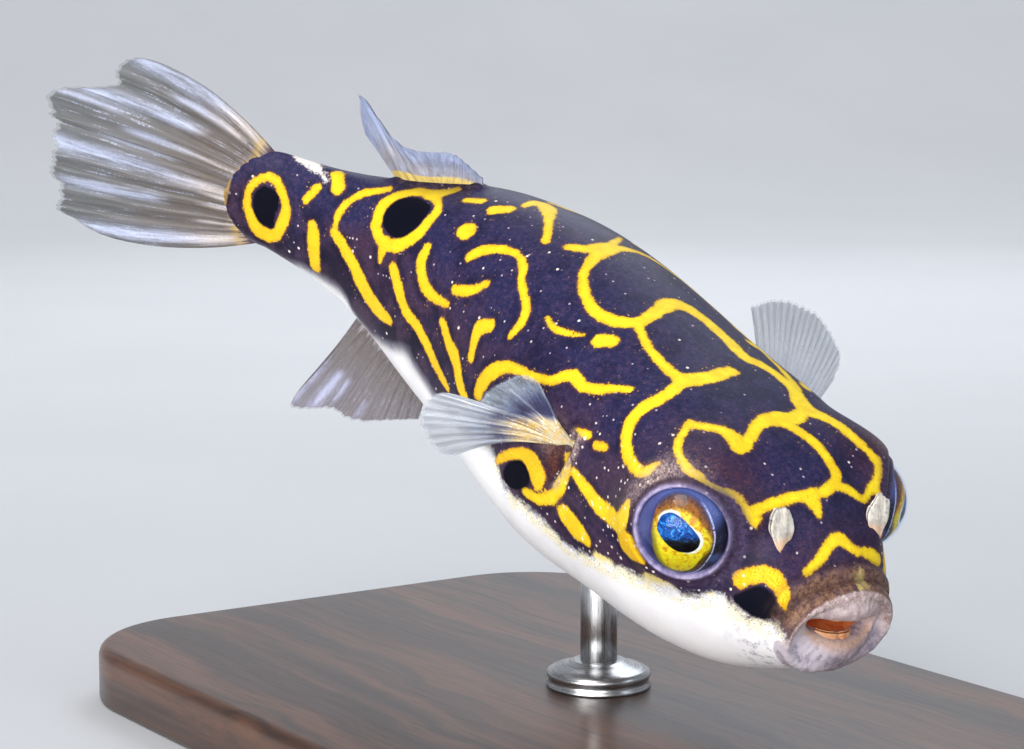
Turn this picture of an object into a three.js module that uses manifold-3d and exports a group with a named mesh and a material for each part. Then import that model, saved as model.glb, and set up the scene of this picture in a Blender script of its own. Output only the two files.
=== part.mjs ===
// Figure-eight pufferfish (Dichotomyctere ocellatus), a still life-size display
// model: nose tipped down, tail curled to its own right, on a small rod stand.
// Millimetres, +Z up, origin at the centre of the underside of the stand base.
// Every flesh part is cut from one lofted body: rounded sections hung on a bent
// axis.  "s" runs along that axis from the snout (0) to the tail root (1).
import * as THREE from 'three';
import Module from 'manifold-3d';
import { mergeVertices } from 'three/addons/utils/BufferGeometryUtils.js';

const wasm = await Module();
wasm.setup();

// ------------------------------------------------------------ driving sizes
const SL = 55;              // snout to tail root along the axis
const PITCH_DEG = 24.45;    // nose-down attitude
const TAIL_TURN_DEG = 38.83; // how far the tail root is turned to the fish's right
const TURN_START = 0.42;    // s where the bend begins
const GAP = 0.3;            // clearance between neighbouring pieces
const AROUND = 38;          // facets round a body section

// Sections of the body, all as fractions of SL: height of the back and depth of
// the belly from the axis, half width, height of the widest line, and the
// roundness exponents of the upper and lower halves (2 = ellipse).
//              s     back   belly  width  widest  up   low
const SECTIONS = [
  [0.000, 0.040, 0.052, 0.067, -0.010, 2.0, 2.0],  // lips
  [0.045, 0.071, 0.083, 0.088,  0.001, 2.2, 2.0],  // snout
  [0.110, 0.115, 0.125, 0.120,  0.023, 2.5, 2.0],  // eyes
  [0.200, 0.140, 0.154, 0.152,  0.033, 2.6, 2.1],  // nape
  [0.300, 0.150, 0.174, 0.155,  0.018, 2.4, 2.1],  // gill opening
  [0.400, 0.159, 0.188, 0.158,  0.001, 2.2, 2.1],  // shoulder
  [0.520, 0.167, 0.185, 0.150, -0.008, 2.1, 2.1],  // mid body
  [0.660, 0.156, 0.158, 0.124, -0.003, 2.1, 2.1],  // vent
  [0.760, 0.130, 0.127, 0.100, -0.001, 2.1, 2.1],  // dorsal fin
  [0.880, 0.090, 0.078, 0.058,  0.001, 2.1, 2.1],  // peduncle
  [1.000, 0.078, 0.053, 0.018,  0.003, 2.1, 2.1],  // tail root
];
const S_LIPS = 0.0140;      // back of the lips
const S_FACE = 0.0195;      // front of the head piece
const S_GILL = 0.2980;      // head ends here, trunk begins a gap later
const S_VENT = 0.7150;      // trunk ends here, tail begins a gap later

const EYE = { s: 0.1264, y: 7.82, z: 2.85, radius: 3.1, sunk: 1.9, forward: 40, up: 4 };
const BROW = { rise: 0.45, spread: 2.3 };
const MOUTH = { halfWidth: 1.95, top: 0.55, bottom: -0.80, z: -0.12, turn: 0.12, tilt: -0.09 };
const LIP = { forward: 0.75 };
const NOSTRIL = { s: 0.065, y: 3.54, height: 2.2, width: 1.75, thick: 0.5 };
const TOOTH = { halfWidth: 1.3, thick: 0.5 };

const BASE = { length: 70, width: 44, thick: 4, corner: 9, bevel: 0.8 };
const ROD = { radius: 1.2, s: 0.47, sink: 2.2 };
const COLLAR = { radius: 3.4, height: 1.7 };
const FLOAT = 4.6;          // lowest flesh above the top of the base
const BALANCE = { x: -24.7, y: -0.8 };  // middle of the body's weight, in plan

const skinDark = 0x32283c, skinPale = 0xe8e6ea, finTint = 0x9aa0b4;

// ------------------------------------------------------------------ helpers
const rad = THREE.MathUtils.degToRad;
const clamp = (x, a, b) => Math.min(b, Math.max(a, x));
const lerp = (a, b, t) => a + (b - a) * t;

// Natural cubic spline through (x, y) knots.
function spline(xs, ys) {
  const n = xs.length, h = [], al = [], l = [1], mu = [0], z = [0];
  for (let i = 0; i < n - 1; i++) h.push(xs[i + 1] - xs[i]);
  for (let i = 1; i < n - 1; i++) {
    al[i] = 3 * ((ys[i + 1] - ys[i]) / h[i] - (ys[i] - ys[i - 1]) / h[i - 1]);
    l[i] = 2 * (xs[i + 1] - xs[i - 1]) - h[i - 1] * mu[i - 1];
    mu[i] = h[i] / l[i];
    z[i] = (al[i] - h[i - 1] * z[i - 1]) / l[i];
  }
  const c = new Array(n).fill(0), b = [], d = [];
  for (let i = n - 2; i >= 0; i--) {
    c[i] = i === 0 ? 0 : z[i] - mu[i] * c[i + 1];
    if (i === 0) c[0] = 0;
    b[i] = (ys[i + 1] - ys[i]) / h[i] - h[i] * (c[i + 1] + 2 * c[i]) / 3;
    d[i] = (c[i + 1] - c[i]) / (3 * h[i]);
  }
  return (x) => {
    let i = 0;
    while (i < n - 2 && x > xs[i + 1]) i++;
    const t = x - xs[i];
    return ys[i] + t * (b[i] + t * (c[i] + t * d[i]));
  };
}
const column = (k) => spline(SECTIONS.map((r) => r[0]), SECTIONS.map((r) => r[k]));
const back = column(1), belly = column(2), width = column(3);
const widest = column(4), roundUp = column(5), roundLow = column(6);

// The bent axis: straight through the head and chest, then turning smoothly.
const STEPS = 120;
const axisX = [0], axisY = [0], axisTurn = [];
function turnAt(s) {
  const t = clamp((s - TURN_START) / (1 - TURN_START), 0, 1);
  return rad(TAIL_TURN_DEG) * t * t * (3 - 2 * t);
}
for (let i = 0; i < STEPS; i++) {
  const p = (turnAt(i / STEPS) + turnAt((i + 1) / STEPS)) / 2;
  axisX.push(axisX[i] - Math.cos(p) * SL / STEPS);
  axisY.push(axisY[i] - Math.sin(p) * SL / STEPS);
}
function axis(s) {
  const c = clamp(s, 0, 1), k = Math.min(STEPS - 1, Math.floor(c * STEPS)), f = c * STEPS - k;
  const p = turnAt(c), over = (s - c) * SL;
  return {
    x: lerp(axisX[k], axisX[k + 1], f) - over * Math.cos(p),
    y: lerp(axisY[k], axisY[k + 1], f) - over * Math.sin(p),
    turn: p,
  };
}
// A point y to the left of the axis and z above it, in the fish's own frame.
function place(s, y, z) {
  const a = axis(s);
  return new THREE.Vector3(a.x - Math.sin(a.turn) * y, a.y + Math.cos(a.turn) * y, z);
}
// Body surface at s and angle a (0 = left flank, 90 = back, -90 = belly).
function section(s, a, scale = 1, grow = 0) {
  const c = Math.cos(a), n = Math.sin(a);
  const e = n > 0 ? roundUp(s) : roundLow(s);
  const zc = widest(s) * SL;
  const reach = n > 0 ? back(s) * SL - zc : belly(s) * SL + zc;
  let y = width(s) * SL * Math.sign(c) * Math.abs(c) ** (2 / e);
  let z = zc + reach * Math.sign(n) * Math.abs(n) ** (2 / e);
  // the brows swell out round both eyes
  const d2 = ((s - EYE.s) * SL) ** 2 + (Math.abs(y) - EYE.y + 1) ** 2 + (z - EYE.z) ** 2;
  const push = grow + BROW.rise * Math.exp(-d2 / (2 * BROW.spread ** 2));
  y = y * scale + push * c;
  z = zc + (z - zc) * scale + push * n;
  return place(s, y, z);
}

// ------------------------------------------------------- closed mesh makers
function geometryFrom(points, faces) {
  const pos = new Float32Array(points.length * 3);
  points.forEach((p, i) => pos.set([p.x, p.y, p.z], i * 3));
  const g = new THREE.BufferGeometry();
  g.setAttribute('position', new THREE.BufferAttribute(pos, 3));
  g.setIndex(faces.flat());
  return facingOut(g);
}
function signedVolume(g) {
  const p = g.attributes.position, ix = g.index.array;
  const a = new THREE.Vector3(), b = new THREE.Vector3(), c = new THREE.Vector3();
  let v = 0;
  for (let i = 0; i < ix.length; i += 3) {
    a.fromBufferAttribute(p, ix[i]); b.fromBufferAttribute(p, ix[i + 1]); c.fromBufferAttribute(p, ix[i + 2]);
    v += a.dot(b.cross(c)) / 6;
  }
  return v;
}
function facingOut(g) {
  if (signedVolume(g) < 0) {
    const ix = g.index.array;
    for (let i = 0; i < ix.length; i += 3) { const t = ix[i]; ix[i] = ix[i + 1]; ix[i + 1] = t; }
  }
  return g;
}
// Rings of equal count, capped by a centre point at both ends.
function loft(rings) {
  const n = rings[0].length, pts = rings.flat(), faces = [];
  for (let r = 0; r < rings.length - 1; r++) {
    for (let i = 0; i < n; i++) {
      const a = r * n + i, b = r * n + (i + 1) % n, c = a + n, d = b + n;
      faces.push([a, b, d], [a, d, c]);
    }
  }
  for (const r of [0, rings.length - 1]) {
    const mid = rings[r].reduce((m, p) => m.add(p), new THREE.Vector3()).divideScalar(n);
    const k = pts.push(mid) - 1;
    for (let i = 0; i < n; i++) {
      const a = r * n + i, b = r * n + (i + 1) % n;
      faces.push(r === 0 ? [b, a, k] : [a, b, k]);
    }
  }
  return geometryFrom(pts, faces);
}
// A ring-shaped body: a closed profile carried round, both ways periodic.
function torus(rings) {
  const n = rings[0].length, m = rings.length, pts = rings.flat(), faces = [];
  for (let r = 0; r < m; r++) {
    for (let i = 0; i < n; i++) {
      const q = (r + 1) % m;
      const a = r * n + i, b = r * n + (i + 1) % n, c = q * n + i, d = q * n + (i + 1) % n;
      faces.push([a, b, d], [a, d, c]);
    }
  }
  return geometryFrom(pts, faces);
}
// A leaf: a middle surface with a thickness, closed round its rim.
function leaf(nu, nv, surface, thickness, grow = 0) {
  const rows = [];
  for (let j = 0; j <= nv; j++) {
    const row = [];
    for (let i = 0; i <= nu; i++) row.push(surface(i / nu, j / nv));
    rows.push(row);
  }
  if (grow > 0) {                        // widen the outline all round
    const wide = rows.map((r) => r.map((p) => p.clone()));
    const square = (from, to, alongA, alongB) => {   // outward, square to the edge
      const e = to.clone().sub(from), t = alongB.clone().sub(alongA).normalize();
      return e.addScaledVector(t, -e.dot(t)).setLength(grow);
    };
    for (let j = 0; j <= nv; j++) {
      const j0 = Math.max(0, j - 1), j1 = Math.min(nv, j + 1);
      wide[j][0].add(square(rows[j][1], rows[j][0], rows[j0][0], rows[j1][0]));
      wide[j][nu].add(square(rows[j][nu - 1], rows[j][nu], rows[j0][nu], rows[j1][nu]));
    }
    for (let i = 0; i <= nu; i++) {
      const i0 = Math.max(0, i - 1), i1 = Math.min(nu, i + 1);
      wide[0][i].add(square(rows[1][i], rows[0][i], rows[0][i0], rows[0][i1]));
      wide[nv][i].add(square(rows[nv - 1][i], rows[nv][i], rows[nv][i0], rows[nv][i1]));
    }
    for (let j = 0; j <= nv; j++) rows[j] = wide[j];
  }
  const top = [], low = [];
  for (let j = 0; j <= nv; j++) {
    for (let i = 0; i <= nu; i++) {
      const du = rows[j][Math.min(nu, i + 1)].clone().sub(rows[j][Math.max(0, i - 1)]);
      const dv = rows[Math.min(nv, j + 1)][i].clone().sub(rows[Math.max(0, j - 1)][i]);
      const n = du.cross(dv).normalize().multiplyScalar(thickness(i / nu, j / nv) / 2 + grow);
      top.push(rows[j][i].clone().add(n));
      low.push(rows[j][i].clone().sub(n));
    }
  }
  const w = nu + 1, k = top.length, faces = [];
  for (let j = 0; j < nv; j++) {
    for (let i = 0; i < nu; i++) {
      const a = j * w + i, b = a + 1, c = a + w, d = c + 1;
      faces.push([a, b, d], [a, d, c], [k + b, k + a, k + d], [k + d, k + a, k + c]);
    }
  }
  const side = (a, b) => faces.push([b, a, k + a], [b, k + a, k + b]);
  for (let i = 0; i < nu; i++) { side(i, i + 1); side(nv * w + i + 1, nv * w + i); }
  for (let j = 0; j < nv; j++) { side((j + 1) * w, j * w); side(j * w + nu, (j + 1) * w + nu); }
  return geometryFrom([...top, ...low], faces);
}
function solid(g) {
  const c = g.clone();
  c.deleteAttribute('normal'); c.deleteAttribute('uv');
  const m = mergeVertices(c, 1e-5);
  return new wasm.Manifold(new wasm.Mesh({
    numProp: 3,
    vertProperties: Float32Array.from(m.attributes.position.array),
    triVerts: Uint32Array.from(m.index.array),
  }));
}
function geometry(man) {
  const m = man.getMesh(), g = new THREE.BufferGeometry();
  const pos = new Float32Array(m.numVert * 3);
  for (let i = 0; i < m.numVert; i++) for (let k = 0; k < 3; k++) pos[i * 3 + k] = m.vertProperties[i * m.numProp + k];
  g.setAttribute('position', new THREE.BufferAttribute(pos, 3));
  g.setIndex(Array.from(m.triVerts));
  return g;
}
const cut = (g, ...tools) => geometry(tools.reduce((m, t) => m.subtract(solid(t)), solid(g)));
const keep = (g, tool) => geometry(solid(g).intersect(solid(tool)));

function node(name, geom, colour, roughness = 0.45, metalness = 0) {
  const g = geom.index ? geom.toNonIndexed() : geom.clone();
  g.deleteAttribute('normal'); g.deleteAttribute('uv');
  const m = mergeVertices(g, 1e-5);
  m.computeVertexNormals();
  const mesh = new THREE.Mesh(m, new THREE.MeshStandardMaterial({ color: colour, roughness, metalness, flatShading: true }));
  mesh.name = name;
  return mesh;
}
function bodyLoft(from, to, count, ease = (t) => t) {
  const rings = [];
  for (let r = 0; r <= count; r++) {
    const s = lerp(from, to, ease(r / count)), ring = [];
    for (let i = 0; i < AROUND; i++) ring.push(section(s, 2 * Math.PI * (i + 0.5) / AROUND));
    rings.push(ring);
  }
  return loft(rings);
}

// ------------------------------------------------------------------- flesh
const headWhole = bodyLoft(S_FACE, S_GILL, 18);
const trunkWhole = bodyLoft(S_GILL + GAP / SL, S_VENT, 12);
const tailWhole = bodyLoft(S_VENT + GAP / SL, 1.0, 10);

// Lips: a fleshy ring in front of the head with the mouth slit through it,
// parted into an upper and a lower lip at the corners of the mouth.
const mouthZ = MOUTH.z;
// "bow" is how fast a ring falls back towards the corners of the mouth; the
// mouth is also held a little askew.
function faceRing(s, bow) {
  const ring = [], n = 32;
  for (let i = 0; i < n; i++) {
    const p = section(s, 2 * Math.PI * (i + 0.5) / n);
    p.x -= bow * p.y * p.y;
    ring.push(p);
  }
  return ring;
}
function lipRing(forward, w, top, bottom, bow, askew) {
  const ring = [], n = 32;
  for (let i = 0; i < n; i++) {
    const a = 2 * Math.PI * (i + 0.5) / n, y = w * Math.cos(a), u = Math.sin(a);
    const z = mouthZ + (u > 0 ? top - mouthZ : mouthZ - bottom) * u;
    ring.push(new THREE.Vector3(forward - bow * y * y + askew * MOUTH.turn * y, y, z + askew * MOUTH.tilt * y));
  }
  return ring;
}
const lipsWhole = torus([
  faceRing(S_LIPS, 0), faceRing(0, 0.02),
  lipRing(0.42, 3.30, 1.86, -2.46, 0.07, 0.1), lipRing(LIP.forward, 2.78, 1.42, -1.94, 0.11, 0.5),
  lipRing(0.74, 2.36, 1.02, -1.40, 0.14, 1), lipRing(0.38, MOUTH.halfWidth, MOUTH.top, MOUTH.bottom, 0.16, 1),
  lipRing(-S_LIPS * SL, 1.76, 0.52, -0.82, 0, 0),
]);
const slab = (z0, z1) => new THREE.BoxGeometry(12, 12, z1 - z0).translate(0, 0, (z0 + z1) / 2);

// Beak plates just inside the lips, each with a notch on the midline.
function beak(sign, grow = 0) {
  const zRoot = mouthZ + sign * 1.25;
  return leaf(8, 2, (u, v) => {
    const t = 2 * u - 1;
    const edge = mouthZ + sign * (0.40 + 0.10 * t * t + 0.10 * Math.exp(-((t / 0.16) ** 2)));
    return new THREE.Vector3(-0.35 - 0.55 * t * t, TOOTH.halfWidth * t, lerp(zRoot, edge, v));
  }, (u, v) => TOOTH.thick * (1 - 0.25 * v), grow);
}
const mouthPocket = new THREE.SphereGeometry(1, 14, 8).scale(2.6, 1.62, 0.86).translate(-1.5, 0, mouthZ - 0.02);

// Eyes: balls sunk in round sockets, looking out and a little forward.
function eyePlace(side) {
  const iris = place(EYE.s, side * EYE.y, EYE.z);
  const f = rad(EYE.forward), e = rad(EYE.up);
  const look = new THREE.Vector3(Math.sin(f) * Math.cos(e), side * Math.cos(f) * Math.cos(e), Math.sin(e));
  return { centre: iris.addScaledVector(look, -EYE.sunk), look };
}
function eyeBall(side, radius) {
  const { centre, look } = eyePlace(side);
  const g = new THREE.SphereGeometry(radius, 16, 10);
  const q = new THREE.Quaternion().setFromUnitVectors(new THREE.Vector3(0, 1, 0), look);
  return g.applyQuaternion(q).translate(centre.x, centre.y, centre.z);
}

// Nasal flaps: short upright petals on the snout, one in front of each eye.
function nasalFlap(side, grow = 0) {
  // the skin point on the snout at this half breadth
  let a = Math.PI / 2;
  const local = (ang) => section(NOSTRIL.s, ang);
  while (a > 0.2 && Math.abs(local(a).y) < NOSTRIL.y) a -= 0.005;
  const root = local(a);
  const up = new THREE.Vector3(-0.30, 0.10, 1).normalize();
  const along = new THREE.Vector3(0, 1, 0).addScaledVector(up, -up.y).normalize();
  return leaf(6, 4, (u, v) => {
    const t = 2 * u - 1;
    const half = NOSTRIL.width / 2 * (0.45 + 0.55 * Math.sin(Math.PI / 2 * clamp(v / 0.7, 0, 1)));
    const h = -0.4 + (NOSTRIL.height + 0.4) * v * (1 - 0.3 * t * t * v);
    const p = root.clone().addScaledVector(up, h).addScaledVector(along, t * half);
    p.x += 0.22 * Math.sin(Math.PI * v) * (1 - t * t) - 0.1 * v;
    p.y *= side;
    return p;
  }, () => NOSTRIL.thick, grow);
}

// ------------------------------------------------------------------- fins
// A fin is a fan of rays.  Each ray starts on the root line and ends on the tip
// line; both lines are splines through a few named ends, in the fin's own plane
// (back = away from the head, up = away from the belly), with bow and ripple.
function fin({ origin, backDir, upDir, root, tip, bow, ripple, sink, thickRoot, thickEdge, taper = 1, nu, nv }) {
  const k = (rows, i) => spline(rows.map((r) => r[0]), rows.map((r) => r[i]));
  const rb = k(root, 1), ru = k(root, 2), tb = k(tip, 1), tu = k(tip, 2);
  const out = new THREE.Vector3().crossVectors(backDir, upDir).normalize();
  const surface = (u, v) => {
    const b0 = rb(u), u0 = ru(u), b1 = tb(u), u1 = tu(u);
    const len = Math.hypot(b1 - b0, u1 - u0), t = (v * (len + sink) - sink) / len;
    const q = clamp(t, 0, 1);
    const b = lerp(b0, b1, t), w = lerp(u0, u1, t) + bow(u) * 4 * q * (1 - q);
    return origin.clone().addScaledVector(backDir, b).addScaledVector(upDir, w).addScaledVector(out, ripple(u, q));
  };
  const thickness = (u, v) => lerp(thickRoot, thickEdge, Math.min(1, v / taper));
  return (grow = 0) => leaf(nu, nv, surface, thickness, grow);
}
const vertical = new THREE.Vector3(0, 0, 1);
function tangent(s, extra = 0) {       // backwards along the axis
  const p = axis(s).turn - rad(extra);
  return new THREE.Vector3(-Math.cos(p), -Math.sin(p), 0);
}
function leaned(s, deg) {              // up, leaned to the left by deg
  const p = axis(s).turn, e = rad(deg);
  return new THREE.Vector3(-Math.sin(p) * Math.sin(e), Math.cos(p) * Math.sin(e), Math.cos(e));
}
const CAUDAL_EXTRA = -8;
const caudal = fin({
  origin: place(1.0, 0, 0), backDir: tangent(1, CAUDAL_EXTRA), upDir: vertical,
  root: [[0, 0.45, 3.9], [0.5, 0.45, 0.6], [1, 0.45, -2.7]],
  tip: [[0, 10.57, 7.94], [0.06, 12.11, 7.60], [0.12, 12.92, 6.45], [0.17, 12.70, 5.71], [0.24, 14.60, 4.69],
    [0.30, 16.70, 3.91], [0.38, 17.02, 2.11], [0.46, 16.23, 1.56], [0.53, 16.29, 0.17], [0.60, 16.11, -1.02],
    [0.68, 16.02, -2.27], [0.77, 15.26, -3.64], [0.83, 15.44, -4.61], [0.90, 14.45, -5.35], [0.95, 12.73, -5.83],
    [1, 11.06, -6.00]],
  bow: (u) => lerp(0.9, -0.6, u), ripple: (u, v) => 0.25 * v * Math.sin(7 * u + 1),
  sink: 0, thickRoot: 1.8, thickEdge: 0.55, taper: 0.25, nu: 20, nv: 5,
});
const dorsal = fin({
  origin: place(0.735, 0, back(0.79) * SL), backDir: tangent(0.79), upDir: leaned(0.79, 0),
  root: [[0, 0, 1.15], [0.5, 3.4, 0.35], [1, 6.8, -0.75]],
  tip: [[0, 0.26, 1.71], [0.2, 2.10, 2.15], [0.4, 3.42, 2.20], [0.6, 5.89, 1.46], [0.75, 8.17, 2.23], [0.9, 10.53, 3.51],
    [1, 9.51, 1.01]],
  bow: () => 0, ripple: (u, v) => 0.35 * v * Math.sin(6 * u),
  sink: 0.9, thickRoot: 0.9, thickEdge: 0.5, nu: 12, nv: 5,
});
const anal = fin({
  origin: place(0.735, 0, -belly(0.78) * SL), backDir: tangent(0.78), upDir: leaned(0.78, 20),
  root: [[0, 0.2, -1.1], [0.5, 3.6, 0.15], [1, 6.9, 1.75]],
  tip: [[0, -0.07, -3.56], [0.2, 1.48, -4.38], [0.35, 2.94, -5.15], [0.5, 4.62, -5.72], [0.62, 5.78, -5.66],
    [0.8, 7.63, -6.45], [0.9, 9.47, -6.85], [1, 8.28, -3.50]],
  bow: () => 0, ripple: (u, v) => 0.35 * v * Math.sin(6 * u + 2),
  sink: 0.9, thickRoot: 0.9, thickEdge: 0.5, nu: 12, nv: 5,
});
const sideDir = (deg, side) => new THREE.Vector3(-Math.cos(rad(deg)), side * Math.sin(rad(deg)), 0);
const PEC_S = 0.325;
const pectoralRight = fin({
  origin: place(PEC_S, -width(PEC_S) * SL, 0.78), backDir: sideDir(35, -1), upDir: vertical,
  root: [[0, 0.15, 2.00], [1, 0.15, -0.70]],
  tip: [[0, 2.42, 3.60], [0.08, 3.16, 4.12], [0.2, 4.38, 3.93], [0.3, 5.03, 3.34], [0.38, 5.64, 2.56], [0.45, 6.14, 1.72],
    [0.52, 7.22, 1.91], [0.58, 8.14, 1.76], [0.65, 8.81, 1.10], [0.73, 9.14, -0.21], [0.8, 9.03, -1.30],
    [0.86, 8.48, -2.21], [0.91, 7.99, -2.76], [0.96, 7.06, -3.03], [1, 6.45, -2.45]],
  bow: (u) => 0.7 * u * u, ripple: (u, v) => 0.9 * v * Math.cos(Math.PI * 2 * (u - 0.1)),
  sink: 1.00, thickRoot: 0.9, thickEdge: 0.5, nu: 20, nv: 5,
});
// The left fin is raised: its plane leans back and spreads upwards.
const leftOut = sideDir(75, 1);
const leftUp = new THREE.Vector3(-0.5, 0, 0.866);
leftUp.addScaledVector(leftOut, -leftUp.dot(leftOut)).normalize();
const pectoralLeft = fin({
  origin: place(PEC_S, width(PEC_S) * SL, 0.78), backDir: leftOut, upDir: leftUp,
  root: [[0, -1.1, 1.5], [1, 1.1, -0.5]],
  tip: [[0, -1.90, 8.99], [0.2, 1.33, 8.86], [0.4, 4.37, 7.93], [0.6, 6.78, 6.58], [0.8, 8.10, 4.66], [0.92, 7.88, 3.49], [1, 6.61, 2.54]],
  bow: () => 0, ripple: (u, v) => 0.5 * v * Math.cos(Math.PI * 1.5 * u),
  sink: 0.7, thickRoot: 0.9, thickEdge: 0.5, nu: 12, nv: 5,
});

// -------------------------------------------------------- pose and assembly
const fish = new THREE.Group();
fish.rotation.y = rad(PITCH_DEG);
// lowest point of the flesh in the turned frame
const turned = new THREE.Matrix4().makeRotationY(rad(PITCH_DEG));
let lowest = Infinity;
for (const s of [0, 0.05, 0.1, 0.15, 0.2, 0.25, 0.3, 0.4, 0.5]) {
  for (let i = 0; i < 60; i++) lowest = Math.min(lowest, section(s, -Math.PI * i / 60).applyMatrix4(turned).z);
}
const balance = new THREE.Vector3(BALANCE.x, BALANCE.y, 0).applyMatrix4(turned);
fish.position.set(-balance.x, -balance.y, BASE.thick + FLOAT - lowest);
fish.updateMatrixWorld(true);
const toFish = fish.matrixWorld.clone().invert();

// The rod stands under the belly and enters it a short way.
const rodFoot = place(ROD.s, 0, 0).applyMatrix4(fish.matrixWorld);
const ray = (x, y) => {           // height of the belly above a plan point
  let best = Infinity;
  for (let s = 0.3; s <= 0.7; s += 0.005) {
    for (let i = 20; i <= 40; i++) {
      const p = section(s, -Math.PI * i / 60).applyMatrix4(fish.matrixWorld);
      if (Math.hypot(p.x - x, p.y - y) < 0.6) best = Math.min(best, p.z);
    }
  }
  return best;
};
const rodX = rodFoot.x, rodY = rodFoot.y, rodTop = ray(rodX, rodY) + ROD.sink;
const rodBottom = BASE.thick + 0.1;
function rod(radius, z0, z1, sides = 16) {
  return new THREE.CylinderGeometry(radius, radius, z1 - z0, sides).rotateX(Math.PI / 2).translate(rodX, rodY, (z0 + z1) / 2);
}
const rodHole = rod(ROD.radius + GAP, rodTop - 12, rodTop + GAP).applyMatrix4(toFish);

const eyes = { r: eyeBall(-1, EYE.radius), l: eyeBall(1, EYE.radius) };
const upperLip = cut(keep(lipsWhole, slab(mouthZ + GAP / 2, 6)), beak(1, GAP));
const lowerLip = cut(keep(lipsWhole, slab(-6, mouthZ - GAP / 2)), beak(-1, GAP));

fish.add(
  node('head', cut(headWhole, eyeBall(-1, EYE.radius + GAP), eyeBall(1, EYE.radius + GAP), mouthPocket,
    beak(1, GAP), beak(-1, GAP), nasalFlap(-1, GAP), nasalFlap(1, GAP)), skinDark),
  node('trunk', cut(trunkWhole, pectoralRight(GAP), pectoralLeft(GAP), rodHole), skinDark),
  node('tail', cut(tailWhole, dorsal(GAP), anal(GAP)), skinDark),
  node('upper_lip', upperLip, 0xafa5b4, 0.5),
  node('lower_lip', lowerLip, 0xafa5b4, 0.5),
  node('teeth_upper', beak(1), 0xc98d55, 0.35),
  node('teeth_lower', beak(-1), 0xc98d55, 0.35),
  node('eye_right', eyes.r, 0x1b2a44, 0.12),
  node('eye_left', eyes.l, 0x1b2a44, 0.12),
  node('nasal_flap_right', nasalFlap(-1), 0xd8d2c4, 0.5),
  node('nasal_flap_left', nasalFlap(1), 0xd8d2c4, 0.5),
  node('pectoral_fin_right', pectoralRight(), finTint, 0.4),
  node('pectoral_fin_left', pectoralLeft(), finTint, 0.4),
  node('dorsal_fin', dorsal(), finTint, 0.4),
  node('anal_fin', anal(), finTint, 0.4),
  node('caudal_fin', caudal(), finTint, 0.4),
);

// -------------------------------------------------------------------- stand
function roundedPlate(l, w, r) {
  const s = new THREE.Shape(), x = l / 2, y = w / 2;
  s.moveTo(-x + r, -y);
  s.lineTo(x - r, -y); s.absarc(x - r, -y + r, r, -Math.PI / 2, 0, false);
  s.lineTo(x, y - r); s.absarc(x - r, y - r, r, 0, Math.PI / 2, false);
  s.lineTo(-x + r, y); s.absarc(-x + r, y - r, r, Math.PI / 2, Math.PI, false);
  s.lineTo(-x, -y + r); s.absarc(-x + r, -y + r, r, Math.PI, Math.PI * 1.5, false);
  return s;
}
const b = BASE.bevel;
const plate = new THREE.ExtrudeGeometry(roundedPlate(BASE.length - 2 * b, BASE.width - 2 * b, BASE.corner - b), {
  depth: BASE.thick - 2 * b, bevelEnabled: true, bevelThickness: b, bevelSize: b, bevelSegments: 1, curveSegments: 4,
}).translate(0, 0, b);
// A turned collar round the foot of the rod, resting on the base.
const c0 = ROD.radius + GAP / 2;
const collar = new THREE.LatheGeometry([
  new THREE.Vector2(c0, 0), new THREE.Vector2(COLLAR.radius, 0), new THREE.Vector2(COLLAR.radius, COLLAR.height * 0.45),
  new THREE.Vector2(COLLAR.radius * 0.78, COLLAR.height * 0.8), new THREE.Vector2(c0 + 0.5, COLLAR.height),
  new THREE.Vector2(c0, COLLAR.height), new THREE.Vector2(c0, 0),
], 20).rotateX(Math.PI / 2).translate(rodX, rodY, BASE.thick + 0.05);

const group = new THREE.Group();
group.add(
  fish,
  node('stand_base', plate, 0x3b2a20, 0.4),
  node('stand_collar', collar, 0xb8b8bc, 0.3, 1),
  node('stand_rod', rod(ROD.radius, rodBottom, rodTop), 0xc4c4c8, 0.25, 1),
);

export default group;
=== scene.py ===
"""Looks for the figure-eight pufferfish display model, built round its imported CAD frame.

One continuous skin stands for the head, trunk, tail and lips.  Everything is made
from named sizes, functions and loops; all markings are procedural: curves laid on
the body in its own coordinates, plus noise in the materials.
"""

import math

import bpy
import numpy as np
from mathutils import Matrix


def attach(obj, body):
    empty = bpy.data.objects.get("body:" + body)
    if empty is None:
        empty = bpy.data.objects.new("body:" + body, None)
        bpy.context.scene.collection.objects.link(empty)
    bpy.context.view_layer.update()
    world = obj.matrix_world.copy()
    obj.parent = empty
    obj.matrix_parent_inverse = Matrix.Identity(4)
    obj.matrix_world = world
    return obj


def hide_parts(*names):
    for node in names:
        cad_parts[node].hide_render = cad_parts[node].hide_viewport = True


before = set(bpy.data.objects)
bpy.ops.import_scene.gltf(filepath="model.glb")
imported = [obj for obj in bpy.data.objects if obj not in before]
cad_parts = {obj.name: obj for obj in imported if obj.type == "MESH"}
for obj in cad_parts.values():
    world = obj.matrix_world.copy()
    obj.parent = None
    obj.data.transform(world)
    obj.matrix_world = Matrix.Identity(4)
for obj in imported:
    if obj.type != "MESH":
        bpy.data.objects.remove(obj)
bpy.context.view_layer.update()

# ---------------------------------------------------------------- shape: sizes
# All shape work is in the fish's own frame, in millimetres: x forward with the
# snout tip at 0, y to the fish's left, z up.  "s" runs from the snout (0) to the
# tail root (1); "b" is the angle from the back midline, + to the fish's right.
SL = 55.0
PITCH = math.radians(24.45)
TAIL_TURN = math.radians(38.83)
TURN_START = 0.42
TAIL_EXTRA = math.radians(-8)
PLACE = np.array([22.484973, 0.8, 12.308336])      # fish origin in the row frame
TAIL_PAD = 3.63                                     # fleshy end behind s = 1, mm
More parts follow.
